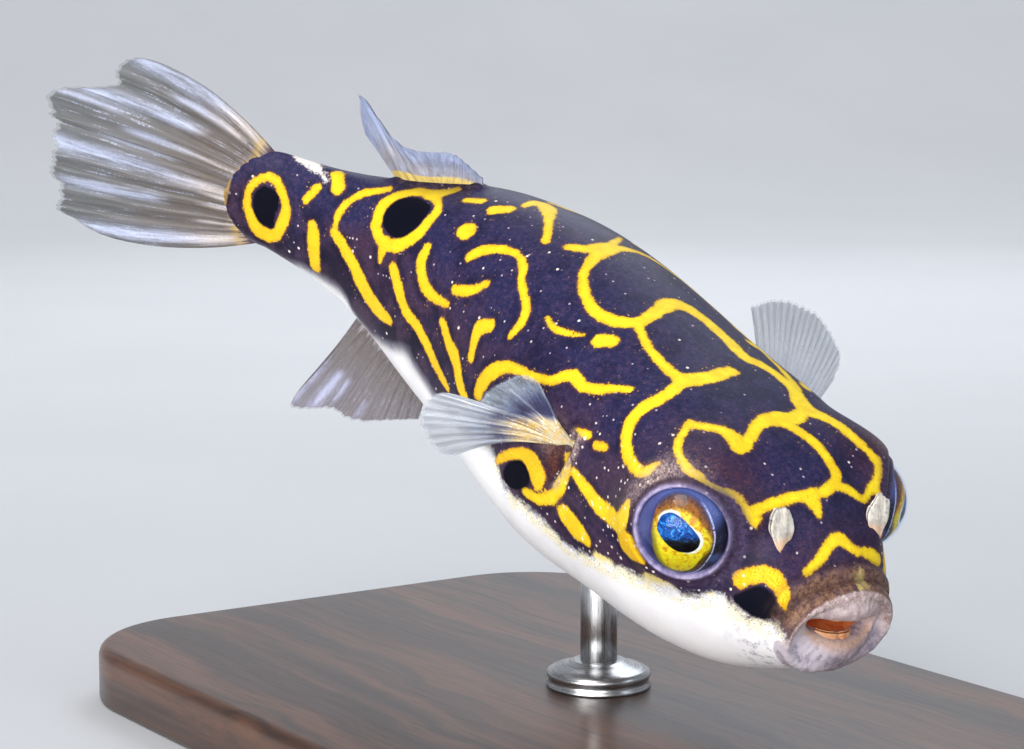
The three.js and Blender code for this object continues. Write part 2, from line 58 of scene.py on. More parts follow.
SECTIONS = np.array([
    # s     back   belly  width  widest   up   low
    [0.000, 0.040, 0.052, 0.067, -0.010, 2.0, 2.0],
    [0.045, 0.071, 0.083, 0.088, 0.001, 2.2, 2.0],
    [0.110, 0.115, 0.125, 0.120, 0.023, 2.5, 2.0],
    [0.200, 0.140, 0.154, 0.152, 0.033, 2.6, 2.1],
    [0.300, 0.150, 0.174, 0.155, 0.018, 2.4, 2.1],
    [0.400, 0.159, 0.188, 0.158, 0.001, 2.2, 2.1],
    [0.520, 0.167, 0.185, 0.150, -0.008, 2.1, 2.1],
    [0.660, 0.156, 0.158, 0.124, -0.003, 2.1, 2.1],
    [0.760, 0.130, 0.127, 0.100, -0.001, 2.1, 2.1],
    [0.880, 0.090, 0.078, 0.058, 0.001, 2.1, 2.1],
    [1.000, 0.078, 0.053, 0.018, 0.003, 2.1, 2.1],
])
EYE_S, EYE_Y, EYE_Z, EYE_R, EYE_SUNK = 0.1264, 7.82, 2.85, 3.1, 1.9
EYE_FORWARD, EYE_UP = math.radians(40), math.radians(4)
RIM = 2.78                                          # radius of the lid's crest
MOUTH_Z = -0.12


def smooth(x):
    x = np.clip(x, 0.0, 1.0)
    return x * x * (3 - 2 * x)


def bell(x):
    return np.exp(-np.square(x))


def nat(xs, ys):
    """Natural cubic spline; ys may have further axes."""
    xs, ys = np.asarray(xs, float), np.asarray(ys, float)
    n, h = len(xs), np.diff(xs)
    flat = ys.reshape(n, -1)
    A, r = np.zeros((n, n)), np.zeros_like(flat)
    A[0, 0] = A[-1, -1] = 1
    for i in range(1, n - 1):
        A[i, i - 1], A[i, i], A[i, i + 1] = h[i - 1], 2 * (h[i - 1] + h[i]), h[i]
        r[i] = 3 * ((flat[i + 1] - flat[i]) / h[i] - (flat[i] - flat[i - 1]) / h[i - 1])
    c = np.linalg.solve(A, r)
    H = h[:, None]
    b = np.diff(flat, axis=0) / H - H * (c[1:] + 2 * c[:-1]) / 3
    d = np.diff(c, axis=0) / (3 * H)

    def f(x):
        x = np.asarray(x, float)
        q = x.ravel()
        i = np.clip(np.searchsorted(xs, q, side="left") - 1, 0, n - 2)
        t = (q - xs[i])[:, None]
        v = flat[i] + t * (b[i] + t * (c[i] + t * d[i]))
        return v.reshape(x.shape + ys.shape[1:])

    return f


back_h, belly_h, width_h, widest_h, round_up, round_low = [nat(SECTIONS[:, 0], SECTIONS[:, k]) for k in range(1, 7)]


def turn(s):
    t = np.clip((s - TURN_START) / (1 - TURN_START), 0, 1)
    return TAIL_TURN * t * t * (3 - 2 * t)


_k = np.linspace(0, 1, 121)
_m = (turn(_k)[1:] + turn(_k)[:-1]) / 2
_ax = -np.concatenate([[0], np.cumsum(np.cos(_m))]) * SL / 120
_ay = -np.concatenate([[0], np.cumsum(np.sin(_m))]) * SL / 120


def place(s, y, z):
    """A point y to the left of the bent axis and z above it."""
    s = np.asarray(s, float)
    c = np.clip(s, 0, 1)
    over = (s - c) * SL
    p = turn(c)
    q = p - TAIL_EXTRA * (s > 1)
    w = p - TAIL_EXTRA * smooth((s - 0.96) / 0.08)
    ax = np.interp(c, _k, _ax) - over * np.cos(q)
    ay = np.interp(c, _k, _ay) - over * np.sin(q)
    return np.stack(np.broadcast_arrays(ax - np.sin(w) * y, ay + np.cos(w) * y, z + 0 * ax), -1)


def section(s, b, grow=0.0):
    """Body surface at s and angle b; past s = 1 it closes as a rounded, thin pad."""
    s, b = np.broadcast_arrays(np.asarray(s, float), np.asarray(b, float))
    a = b + math.pi / 2
    c, n = np.cos(a), np.sin(a)
    t = np.clip(s, 0, 1)
    e = np.where(n > 0, round_up(t), round_low(t))
    zc = widest_h(t) * SL
    reach = np.where(n > 0, back_h(t) * SL - zc, belly_h(t) * SL + zc)
    half = width_h(t) * SL
    over = np.clip((s - 1) * SL / TAIL_PAD, 0, 1)
    r = np.sqrt(np.clip(1 - over**2, 0, 1))
    reach, half = reach * r, half * (1 - over) + 0.27 * over
    y = half * np.sign(c) * np.abs(c) ** (2 / e)
    z = zc + reach * np.sign(n) * np.abs(n) ** (2 / e)
    d2 = ((s - EYE_S) * SL) ** 2 + (np.abs(y) - EYE_Y + 1) ** 2 + (z - EYE_Z) ** 2
    push = grow + 0.45 * np.exp(-d2 / (2 * 2.3**2))
    return place(s, y + push * c, z + push * n)


def eye_frame(side):
    """Centre, look, front and up directions of an eye; side is +1 left, -1 right."""
    cf, sf, ce, se = math.cos(EYE_FORWARD), math.sin(EYE_FORWARD), math.cos(EYE_UP), math.sin(EYE_UP)
    look = np.array([sf * ce, side * cf * ce, se])
    up = np.array([0, 0, 1.0]) - look[2] * look
    up /= np.linalg.norm(up)
    front = np.array([1.0, 0, 0]) - look[0] * look
    front -= (front @ up) * up
    front /= np.linalg.norm(front)
    centre = place(EYE_S, side * EYE_Y, EYE_Z) - EYE_SUNK * look
    return centre, look, front, up


# Rings from the back of the mouth out over the lips: x on the midline, half
# width, top, bottom, and how fast the ring falls back towards the mouth corners.
MOUTH_RINGS = [
    (-2.70, 0.60, 0.10, -0.35, 0.08), (-2.40, 1.30, 0.46, -0.66, 0.09), (-1.70, 1.98, 0.58, -0.84, 0.11),
    (-0.95, 2.20, 0.56, -0.90, 0.13), (-0.36, 2.30, 0.52, -0.88, 0.155), (0.02, 2.38, 0.56, -0.92, 0.165),
    (0.28, 2.52, 0.77, -1.11, 0.165), (0.44, 2.70, 1.07, -1.44, 0.16), (0.46, 2.92, 1.44, -1.87, 0.14),
    (0.30, 3.24, 1.78, -2.32, 0.10),
]
MOUTH_TURN, MOUTH_TILT = 0.12, -0.09               # the mouth is held a little askew


def wave(p, freq, seed):
    """Smooth deterministic noise, about -1 to 1, from a few turned sine waves."""
    r = np.random.RandomState(seed)
    out = np.zeros(p.shape[:-1])
    for _ in range(7):
        d = r.normal(size=3)
        d *= freq * r.uniform(0.6, 1.5) / np.linalg.norm(d)
        out += np.sin(p @ d + r.uniform(0, 6.3) + 0.9 * np.sin(p @ np.roll(d, 1) * 0.7))
    return out / 3.2


def grid_normals(P):
    du = np.roll(P, -1, 1) - np.roll(P, 1, 1)
    dv = np.gradient(P, axis=0)
    n = np.cross(du, dv)
    n /= np.linalg.norm(n, axis=-1, keepdims=True) + 1e-12
    return n


def arc_from_back(P):
    """Distance round the section from the back midline, mm, signed as b."""
    step = np.linalg.norm(np.roll(P, -1, 1) - P, axis=-1)
    run = np.concatenate([np.zeros((len(P), 1)), np.cumsum(step, 1)], 1)
    mid = P.shape[1] // 2
    return (run[:, : P.shape[1]] - run[:, mid : mid + 1])


def spot(S, B, s0, b0, su, sb, radius=8.0):
    """Soft bump centred at (s0, b0 degrees), su long and sb wide in mm."""
    return bell((S - s0) * SL / su) * bell((B - math.radians(b0)) * radius / sb)


def body_grid(columns, mouth_rows, head_rows, trunk_rows, tail_rows):
    """The whole skin as rows x columns of points, with each point's s and b."""
    b = -np.pi + 2 * np.pi * np.arange(columns) / columns
    rings, levels = [], []
    for x, w, top, bottom, bow in MOUTH_RINGS:
        up = np.cos(b)
        up = np.sign(up) * np.abs(up) ** (1 - 0.36 * smooth((2.85 - w) / 0.45))
        y = -w * np.sin(b) + 0.28 * bell((w - 2.2) / 0.5)
        z = MOUTH_Z + np.where(up > 0, top - MOUTH_Z, MOUTH_Z - bottom) * up
        askew = smooth((3.5 - w) / 1.4)
        z = z - 0.07 * bell(y / 0.75) * smooth(up * 2) * smooth((1.9 - top) / 1.2) + MOUTH_TILT * y * askew
        rings.append(np.stack([x - bow * y * y + MOUTH_TURN * y * askew, y, z], -1))
    for s in (0.0, 0.012, 0.024, 0.036):
        rings.append(section(s, b))
    rings = np.array(rings)
    # lip rings curve back to meet the face; the first face ring keeps their bow
    rings[len(MOUTH_RINGS), :, 0] -= 0.020 * rings[len(MOUTH_RINGS), :, 1] ** 2
    knots = np.concatenate([[0], np.cumsum(np.linalg.norm(np.diff(rings, axis=0), axis=-1).mean(1))])
    f = nat(knots, rings)
    stop = knots[-2]
    t = np.linspace(0, stop, mouth_rows)
    mouth = f(t)
    k0 = knots[len(MOUTH_RINGS)]
    s_mouth = np.where(t < k0, (t - k0) / SL, np.interp(t, knots[len(MOUTH_RINGS):], [0, 0.012, 0.024, 0.036]))
    s_body = np.concatenate([
        np.linspace(0.024, 0.30, head_rows + 1)[1:],
        np.linspace(0.30, 0.72, trunk_rows + 1)[1:],
        np.linspace(0.72, 1.0, tail_rows + 1)[1:],
        1 + TAIL_PAD / SL * np.sin(np.linspace(0, 1, 23)[1:] * 1.52),
    ])
    P = np.concatenate([mouth, section(s_body[:, None], b[None])])
    S = np.repeat(np.concatenate([s_mouth, s_body])[:, None], columns, 1)
    B = np.repeat(b[None], len(S), 0)
    return P, S, B


def shape_eye(P, side):
    """Raises the lid and its turret round an eye and drops the skin under the ball."""
    C, look, front, up = eye_frame(side)
    V = P - C
    h, x, y = V @ look, V @ front, V @ up
    rho, th = np.hypot(x, y), np.arctan2(y, x)
    reach = 5.1 + 0.3 * np.cos(th - 2.4)
    use = (h > -4.6) & (rho < reach)
    # rows are drawn towards the lid, where the detail is
    new = np.where(rho < 0.6, rho * 2.3 / 0.6, np.where(rho < 3.4, 2.3 + (rho - 0.6) * 1.1 / 2.8, rho))
    crest = 1.70 + 0.10 * np.cos(th + 0.5)
    lid = np.interp(new, [0, 2.42, 2.57, 2.65, 2.72, 2.78, 2.86, 2.94, 3.05, 3.22, 3.42, 6.2],
                    [-0.95, -0.80, -0.45, -0.12, -0.02, 0.0, -0.03, -0.12, -0.24, -0.34, -0.42, -1.5]) + crest
    # a soft second fold in front of the eye, a groove between it and the lid
    lid = lid + 0.16 * bell((new - 3.58) / 0.33) * smooth(0.2 + np.cos(th + 0.35)) - 0.05 * bell((new - 3.18) / 0.2)
    w = smooth((new - 3.3) / (reach - 3.3))
    height = lid * (1 - w) + h * w
    Q = C + (new * np.cos(th))[..., None] * front + (new * np.sin(th))[..., None] * up + height[..., None] * look
    out = np.where(use[..., None], Q, P)
    return out, np.where(h > -4.6, np.where(use, new, rho), 99.0), th


def relax(P, weight, times):
    for _ in range(times):
        near = (np.roll(P, 1, 1) + np.roll(P, -1, 1)) / 2
        along = P.copy()
        along[1:-1] = (P[2:] + P[:-2]) / 2
        P = P + weight[..., None] * ((near + along) / 2 - P)
    return P


# Path of the gill opening on the right: s, angle.
GILL = [(0.3198, 73.0), (0.3172, 79.0), (0.3168, 84.8), (0.3193, 88.5), (0.3248, 92.0), (0.3312, 95.6), (0.3426, 100.5)]


def gill_field(S, B):
    """Distance in mm behind (+) or in front of the gill opening, and how far along it, 0 to 1."""
    deg = np.degrees(np.abs(B))
    path = np.array(GILL)
    at = np.interp(deg, path[:, 1], path[:, 0])
    slope = np.interp(deg, path[:, 1], np.gradient(path[:, 0], path[:, 1]))
    tilt = np.cos(np.arctan(slope * SL / math.radians(8.3)))
    return (S - at) * SL * tilt, (deg - path[0, 1]) / (path[-1, 1] - path[0, 1])


def shape_skin(P, S, B):
    """Folds, lids, slits and fin roots; returns the points and the two eye radii."""
    side_b = np.abs(B)
    deg = np.degrees(side_b)
    d = np.zeros(S.shape)
    # grooves over the upper lip and the fold round the mouth
    top = smooth((118 - deg) / 30)
    g1 = 0.0155 + 0.006 * smooth(deg / 95)
    d -= 0.20 * bell((S - g1) * SL / 0.24) * top
    d += 0.10 * bell((S - g1 - 0.0085) * SL / 0.22) * top
    d -= 0.10 * bell((S - g1 - 0.0165) * SL / 0.16) * smooth((95 - deg) / 25)
    d -= 0.05 * bell((S - 0.0150) * SL / 0.22) * smooth((deg - 112) / 20)
    d += 0.12 * bell((S - 0.004) * SL / 0.5)
    # puckers that run out from the mouth over both lips, and papillae
    lips = smooth((S + 0.045) / 0.012) * smooth((0.020 - S) / 0.02)
    d += 0.011 * lips * np.sin(34 * B + 1.6 * np.sin(5 * B + 1)) * smooth((S + 0.036) / 0.02)
    d += 0.020 * lips * wave(P, 5.0, 5)
    # skin of the chin: low crossing folds
    d += 0.035 * wave(P, 1.9, 11) * smooth((0.09 - S) / 0.05) * smooth((deg - 95) / 30) * smooth((S - 0.01) / 0.02)
    # nostril mounds
    d += 0.30 * spot(S, side_b, 0.0655, 38.5, 0.75, 0.95, 5.2)
    # crease down the forehead
    d -= 0.05 * bell(B * 7.5 / 0.16) * smooth((S - 0.085) / 0.02) * smooth((0.215 - S) / 0.03)
    # gill slit: a crescent in front of the pectoral root; its front edge is a low
    # soft lip and the skin dips behind it, under the fin
    behind, run = gill_field(S, B)
    long = smooth(run / 0.16) * smooth((1 - run) / 0.16)
    d -= 0.42 * bell((behind - 0.10) / 0.17) * long
    d += 0.12 * bell((behind + 0.42) / 0.34) * long
    d -= 0.34 * spot(S, side_b, 0.338, 91, 0.75, 1.1, 8.3)
    # fleshy roots of the pectoral, dorsal and anal fins
    d += 0.55 * spot(S, side_b, 0.347, 81, 0.62, 1.25, 8.3)
    ridge = smooth((S - 0.722) / 0.02) * smooth((0.872 - S) / 0.03)
    d += 0.40 * bell(B * 5.2 / 0.55) * ridge
    d += 0.36 * bell((np.pi - side_b) * 5.0 / 0.55) * ridge
    # vent
    d += 0.18 * bell((np.pi - side_b) * 6.5 / 0.6) * bell((S - 0.700) * SL / 0.7)
    # long, low swellings of the body wall
    d += 0.045 * wave(P, 0.55, 3) * smooth((S - 0.03) / 0.1) * smooth((1.0 - S) / 0.1)
    N = grid_normals(P)
    centre = place(np.clip(S, 0, 1.06), 0 * S, 0 * S)
    flip = np.sign(np.sum((P - centre) * N, -1))[len(P) // 2, 0]
    N = N * flip
    Q = P + N * d[..., None]
    radii = []
    for side in (-1, 1):
        Q, rho, th = shape_eye(Q, side)
        radii.append((rho, th))
        ring = smooth((rho - 3.35) / 0.4) * smooth((6.2 - rho) / 0.8)
        Q = relax(Q, 0.85 * ring, 14)
    return Q, radii


# -------------------------------------------------------------- end of shape
# ------------------------------------------------------------------- markings
# Each marking is a curve on the body: (s, angle from the back in degrees, width mm).
# Y bright yellow, A amber, P pale cream.
MARKS = {
    "dot_a": ("Y", [(0.9259, 10.9, 0.95), (0.9139, 34.1, 1.03)]),
    "dot_b": ("Y", [(0.9515, 60.4, 0.66), (0.9461, 51.6, 0.76), (0.9414, 41.1, 0.61)]),
    "bar_tail": ("Y", [(0.932, 80.1, 0.88), (0.9245, 90.5, 1.23), (0.9155, 118.2, 1.07)]),
    "ring_tail": ("Y", [(1.012, 54.9, 0.67), (1.0255, 61.1, 0.67), (1.0339, 76.3, 0.66), (1.0316, 94.2, 0.67),
        (1.02, 111.9, 0.94), (1.0046, 124.4, 1.25), (0.9848, 114.9, 0.96), (0.9771, 94.5, 1.05),
        (0.9761, 79.7, 0.89), (0.9857, 67.4, 0.81), (0.9994, 57.6, 0.8), (1.012, 54.9, 0.75)]),
    "ring_dorsal": ("Y", [(0.8382, 54.3, 0.98), (0.8428, 43.5, 0.97), (0.8421, 35.1, 1.02), (0.8348, 27.6, 0.94),
        (0.8267, 22, 0.9), (0.8099, 16, 0.99), (0.7857, 18.1, 1.02), (0.7664, 25.5, 0.62), (0.7583, 33, 0.88),
        (0.7598, 41.2, 0.97), (0.7618, 48, 1.05), (0.7705, 54, 1.06), (0.7918, 61.7, 1.09), (0.815, 64.1, 0.89),
        (0.8293, 59.9, 0.93), (0.8382, 54.3, 0.9)]),
    "ring_dorsal_tip": ("Y", [(0.8129, 64.4, 1.14), (0.8088, 76, 0.4)]),
    "ring_dorsal_out": ("Y", [(0.7857, 18.1, 1.11), (0.7724, 14.1, 0.99), (0.7597, 8.9, 0.62)]),
    "arc_a": ("Y", [(0.8985, 68.6, 0.59), (0.8986, 57.1, 0.68), (0.8902, 40.9, 0.65), (0.8753, 28.2, 0.76),
        (0.8503, 17.7, 0.7)]),
    "stripe_a": ("Y", [(0.8958, 75, 0.85), (0.8778, 81, 0.98), (0.8542, 88.4, 1.08), (0.8322, 96, 1.33),
        (0.8092, 101.1, 1.34), (0.7844, 102.5, 1.22), (0.7592, 101.2, 0.7)]),
    "stripe_b": ("Y", [(0.7812, 74.7, 0.89), (0.7601, 82, 1.02), (0.7328, 88.9, 0.96), (0.6969, 91.1, 0.89),
        (0.663, 94.1, 0.99), (0.6262, 97.6, 0.87), (0.5851, 99.5, 0.62)]),
    "arc_b": ("Y", [(0.7361, 55.8, 0.75), (0.7327, 64.9, 0.96), (0.7114, 72.5, 0.94), (0.6816, 74.6, 0.8),
        (0.6485, 73, 0.59)]),
    "stripe_c": ("Y", [(0.6447, 80.6, 0.76), (0.611, 84.9, 0.96), (0.5823, 86.9, 1.11), (0.5597, 91.6, 0.99),
        (0.5258, 95.1, 0.74)]),
    "dot_c": ("Y", [(0.693, 39.2, 1.36), (0.6887, 38.7, 1.39)]),
    "dash_a": ("Y", [(0.7327, 18, 0.62), (0.7115, 15.4, 0.74)]),
    "dash_b": ("Y", [(0.6818, 20, 1.09), (0.6666, 15, 0.99)]),
    "hook": ("Y", [(0.6552, 50, 0.75), (0.6444, 44.9, 0.91), (0.6285, 41, 0.79), (0.6055, 37.1, 0.7),
        (0.5795, 36.3, 0.58), (0.5588, 39, 0.73), (0.5406, 44, 0.63), (0.5087, 48.1, 0.7), (0.4928, 53.8, 0.82),
        (0.4935, 61.8, 0.55)]),
    "blob_a": ("Y", [(0.647, 65.4, 0.73), (0.6173, 62, 0.84), (0.5921, 54.2, 0.61)]),
    "arch": ("Y", [(0.5493, 80.3, 0.82), (0.5551, 75.3, 0.89), (0.5584, 69.8, 1.2), (0.5398, 65.3, 0.99)]),
    "dorsal_drop": ("Y", [(0.6587, 7.2, 0.62), (0.6569, -2.1, 1.11), (0.6391, -0.6, 1.36), (0.6078, 9.9, 0.72),
        (0.5741, 21.9, 0.69)]),
    "comma": ("Y", [(0.4642, 46, 0.34), (0.4444, 46.9, 0.52), (0.4226, 44, 0.5), (0.405, 39.7, 0.3)]),
    "dot_d": ("Y", [(0.3835, 36.6, 1.15), (0.3742, 33, 1.13)]),
    "prong": ("Y", [(0.5444, 17, 0.78), (0.528, 10.5, 1.1), (0.5223, 2, 1.48)]),
    "nick": ("Y", [(0.5223, 2, 0.85), (0.5507, -15, 0.37)]),
    "dorsal_line": ("Y", [(0.5204, 2.1, 0.99), (0.5177, -9, 0.74), (0.506, -18.9, 0.62), (0.4801, -25, 0.62),
        (0.4503, -29.6, 0.62), (0.3908, -32.7, 0.39), (0.3417, -31.9, 0.62), (0.2928, -28.1, 0.74),
        (0.2448, -22.8, 0.87)]),
    "loop_a": ("Y", [(0.5204, 2.1, 1.35), (0.5081, 11.7, 0.98), (0.4913, 20.9, 0.75), (0.4647, 26.5, 0.76),
        (0.4305, 29.1, 0.91), (0.4024, 26.4, 1.07), (0.3847, 19.2, 1.06), (0.3878, 10, 1), (0.4032, -1, 1.36),
        (0.3938, -7, 1.24), (0.3689, -10.1, 1.11), (0.3374, -10.9, 1.11), (0.3006, -10.1, 1.11),
        (0.2868, -14.5, 1.11), (0.2688, -17.9, 1.11), (0.2486, -19, 1.11), (0.2321, -18.5, 1.24), (0.21, -15, 1.48),
        (0.1998, -17.2, 1.36), (0.1884, -21.6, 0.99), (0.1712, -24, 0.8), (0.1512, -28.2, 0.57)]),
    "rib_a": ("Y", [(0.3785, 18.7, 0.72), (0.3481, 21.6, 0.68), (0.3163, 22.5, 0.77), (0.2865, 21.2, 0.96),
        (0.2733, 18.3, 1.36), (0.2693, 8.7, 1.25), (0.2746, -0, 0.99)]),
    "rib_b": ("Y", [(0.2716, 20.1, 0.99), (0.2631, 32.9, 1.01), (0.2634, 46.4, 1), (0.2595, 55.1, 0.95),
        (0.2456, 64, 0.88), (0.2291, 68.5, 0.91), (0.2057, 66.8, 0.68), (0.1995, 61.7, 0.67), (0.1967, 55.8, 0.32)]),
    "heart_top": ("Y", [(0.2123, 32, 0.58), (0.2014, 26.1, 0.6), (0.1911, 21, 0.7), (0.1787, 19.2, 0.85),
        (0.163, 19.1, 1.06), (0.1696, 13.5, 0.84), (0.1834, 7, 0.93), (0.1915, 0.6, 1.27), (0.1896, -6.4, 1.19),
        (0.2016, -12.7, 0.84)]),
    "heart_left": ("Y", [(0.2123, 32, 0.57), (0.2067, 37.9, 0.62), (0.1981, 42.5, 0.61), (0.1836, 45.3, 0.55),
        (0.1626, 46.8, 0.95), (0.14, 48, 0.99), (0.1234, 40.1, 0.58), (0.1043, 41.4, 0.57), (0.0904, 43, 0.68)]),
    "heart_low": ("Y", [(0.0975, 37, 0.86), (0.0957, 20.5, 0.75), (0.0945, 2.9, 0.82), (0.0967, -3.2, 0.83),
        (0.1019, -8.2, 0.74), (0.1124, -11.2, 0.93), (0.1259, -10.3, 0.84), (0.1454, -8, 0.89), (0.1647, -5, 0.94),
        (0.1825, -1, 0.84)]),
    "heart_stem": ("Y", [(0.0903, 5, 1.27), (0.0828, 4.1, 0.94), (0.0736, 4.6, 0.37)]),
    "heart_drop": ("Y", [(0.0994, 36.5, 0.68), (0.0918, 41.7, 0.49), (0.0864, 45.6, 0.22)]),
    "eye_loop": ("Y", [(0.1021, -7, 0.73), (0.096, -18.1, 0.8), (0.0897, -28.5, 0.59), (0.1056, -34.8, 0.53),
        (0.1261, -35, 0.57), (0.142, -31.7, 0.69), (0.1547, -27, 0.56), (0.1712, -24, 0.56)]),
    "snout_arc": ("Y", [(0.0334, 32.3, 0.51), (0.0355, 25.8, 0.64), (0.0388, 17.8, 0.71), (0.0462, 8.1, 0.79),
        (0.0516, 1.3, 0.81), (0.0517, -3.1, 0.96), (0.0461, -7.1, 0.82), (0.0406, -13.1, 0.67)]),
    "snout_arc_left": ("Y", [(0.0403, -23.8, 0.79), (0.0396, -32.7, 1), (0.0397, -40.5, 0.91)]),
    "snout_arc_join": ("Y", [(0.0418, -13.4, 0.46), (0.0403, -23.8, 0.55)]),
    "cheek": ("A", [(0.069, 80.7, 1.03), (0.0608, 70.1, 1.05), (0.0533, 61.1, 1.05), (0.0443, 57.1, 1.12),
        (0.0348, 57.8, 0.96), (0.0277, 61.9, 0.73), (0.0208, 68.4, 0.22)]),
    "lip_spot": ("P", [(0.0194, -12.6, 0.73), (0.0107, -10.6, 0.98)]),
    "under_eye_a": ("P", [(0.1559, 109.5, 1.48), (0.1368, 107.2, 1.11)]),
    "under_eye_b": ("P", [(0.0896, 101.3, 0.6), (0.0784, 97.6, 0.36)]),
    "under_eye_c": ("P", [(0.2369, 114.7, 0.91), (0.2174, 113, 0.63)]),
    "behind_a": ("Y", [(0.5069, 88.4, 1.11), (0.5042, 83.6, 1.28), (0.4908, 77, 1.16), (0.4671, 71.1, 0.86),
        (0.4326, 68, 0.7), (0.3955, 63.7, 0.7), (0.3748, 56.2, 0.93), (0.3499, 56.6, 0.79), (0.3267, 52, 0.77),
        (0.2986, 42.9, 0.57)]),
    "spot_e": ("Y", [(0.3185, 75, 0.6), (0.3, 73.1, 0.6)]),
    "spot_f": ("A", [(0.282, 75, 0.65), (0.2671, 73.2, 0.59)]),
    "vee_a": ("Y", [(0.2996, 90.1, 0.73), (0.2726, 92.2, 1.06), (0.2434, 94.9, 1.2), (0.2097, 94.3, 1.61)]),
    "vee_b": ("Y", [(0.2097, 94.3, 1.09), (0.2008, 89, 1.1), (0.2017, 83, 0.5)]),
    "gill_yellow": ("Y", [(0.3171, 88.4, 1.1), (0.315, 93.9, 1.24), (0.3224, 100.9, 0.98), (0.346, 106, 0.91),
        (0.3739, 107.2, 0.8)]),
    "blob_b": ("Y", [(0.3016, 106, 1.48), (0.2808, 107.9, 1.73), (0.2587, 109.5, 1.11)]),
    "dot_g": ("A", [(0.1889, 98.3, 2.1), (0.174, 96.9, 1.98)]),
    "pec_spot_ring": ("A", [(0.4341, 104.2, 0.59), (0.4163, 98.8, 0.74), (0.3944, 95.9, 1.1), (0.3709, 95.3, 1.67),
        (0.3596, 97.5, 1.7), (0.3548, 100.8, 1.1)]),
    "tail_pale": ("P", [(0.9855, -5.2, 0.58), (0.9669, 1.5, 0.96), (0.9475, 19, 0.58), (0.935, 28.3, 0.33)]),
}
# Dark spots: closed outlines of (s, angle); the left flank carries the same four.
SPOTS = {
    "behind_fin": [(0.3963, 97.3), (0.4085, 100), (0.4168, 103.8), (0.4195, 107.6), (0.4125, 109.9), (0.3995, 110.1),
                   (0.3853, 108.2), (0.3726, 105), (0.3672, 101.3), (0.3715, 98.8), (0.3787, 97.1), (0.3871, 96.4)],
    "cheek": [(0.0622, 84.7), (0.0571, 77.5), (0.052, 71.2), (0.0459, 67.2), (0.0383, 66.1), (0.0313, 67.9), (0.0263, 72.2),
              (0.0262, 80.1), (0.0328, 87.8), (0.0418, 92.2), (0.0515, 93.8), (0.0614, 93.8), (0.0679, 93), (0.0676, 89.4)],
    "dorsal_eye": [(0.8315, 48.8), (0.8339, 41.4), (0.8297, 30.9), (0.8179, 25), (0.8021, 23.3), (0.786, 25.8), (0.7714, 30.1),
                   (0.7684, 38.4), (0.7718, 46.5), (0.7805, 53.8), (0.7948, 57.7), (0.8118, 57.1), (0.827, 53)],
    "tail_eye": [(1.0231, 94.1), (1.026, 81.7), (1.0226, 71.3), (1.0147, 66.1), (1.0065, 67.5), (0.9976, 74.1),
                 (0.9922, 83.9), (0.9905, 93.8), (0.9953, 104.4), (1.0041, 111), (1.013, 108.4), (1.02, 101)],
}
# Soft sooty smudges: s, angle, half length and half breadth in mm.
SMUDGES = [(0.8875, 98, 1.1, 1.3), (0.7886, 88.2, 0.9, 1.2), (0.700, 103, 0.9, 1.5), (0.618, 92, 0.8, 1.6), (0.443, 60, 1.0, 1.2)]
# The line between dark flank and white belly, on the right; the left is like it.
BELLY_EDGE = [
    (-0.05, 96), (-0.0087, 95.0), (0.018, 84.3), (0.0322, 88.4), (0.0478, 94.9), (0.0614, 96.8), (0.0742, 96.2),
    (0.0892, 99.0), (0.1032, 104.2), (0.1182, 107.6), (0.1331, 105.6), (0.152, 108.9), (0.1725, 111.0), (0.198, 111.9),
    (0.2227, 113.5), (0.2521, 116.0), (0.285, 119.0), (0.3079, 118.9), (0.3254, 116.6), (0.3463, 114.3), (0.3698, 113.2),
    (0.3955, 113.0), (0.4192, 111.8), (0.431, 106.5), (0.4451, 102.2), (0.466, 100.8), (0.489, 102.5), (0.518, 107.0), (0.5723, 108.0), (0.6283, 111.0),
    (0.6509, 110.3), (0.6723, 109.9), (0.6901, 108.0), (0.7033, 104.7), (0.7241, 107.6), (0.7545, 116.0), (0.7812, 122.8),
    (0.809, 133.0), (0.8323, 137.1), (0.8472, 132.6), (0.8536, 122.8), (0.8699, 119.0), (0.8941, 123.2), (0.9159, 128.7),
    (0.9415, 136.0), (0.9662, 156.0), (1.07, 178),
]
KIND = {"Y": 0, "A": 1, "P": 2}


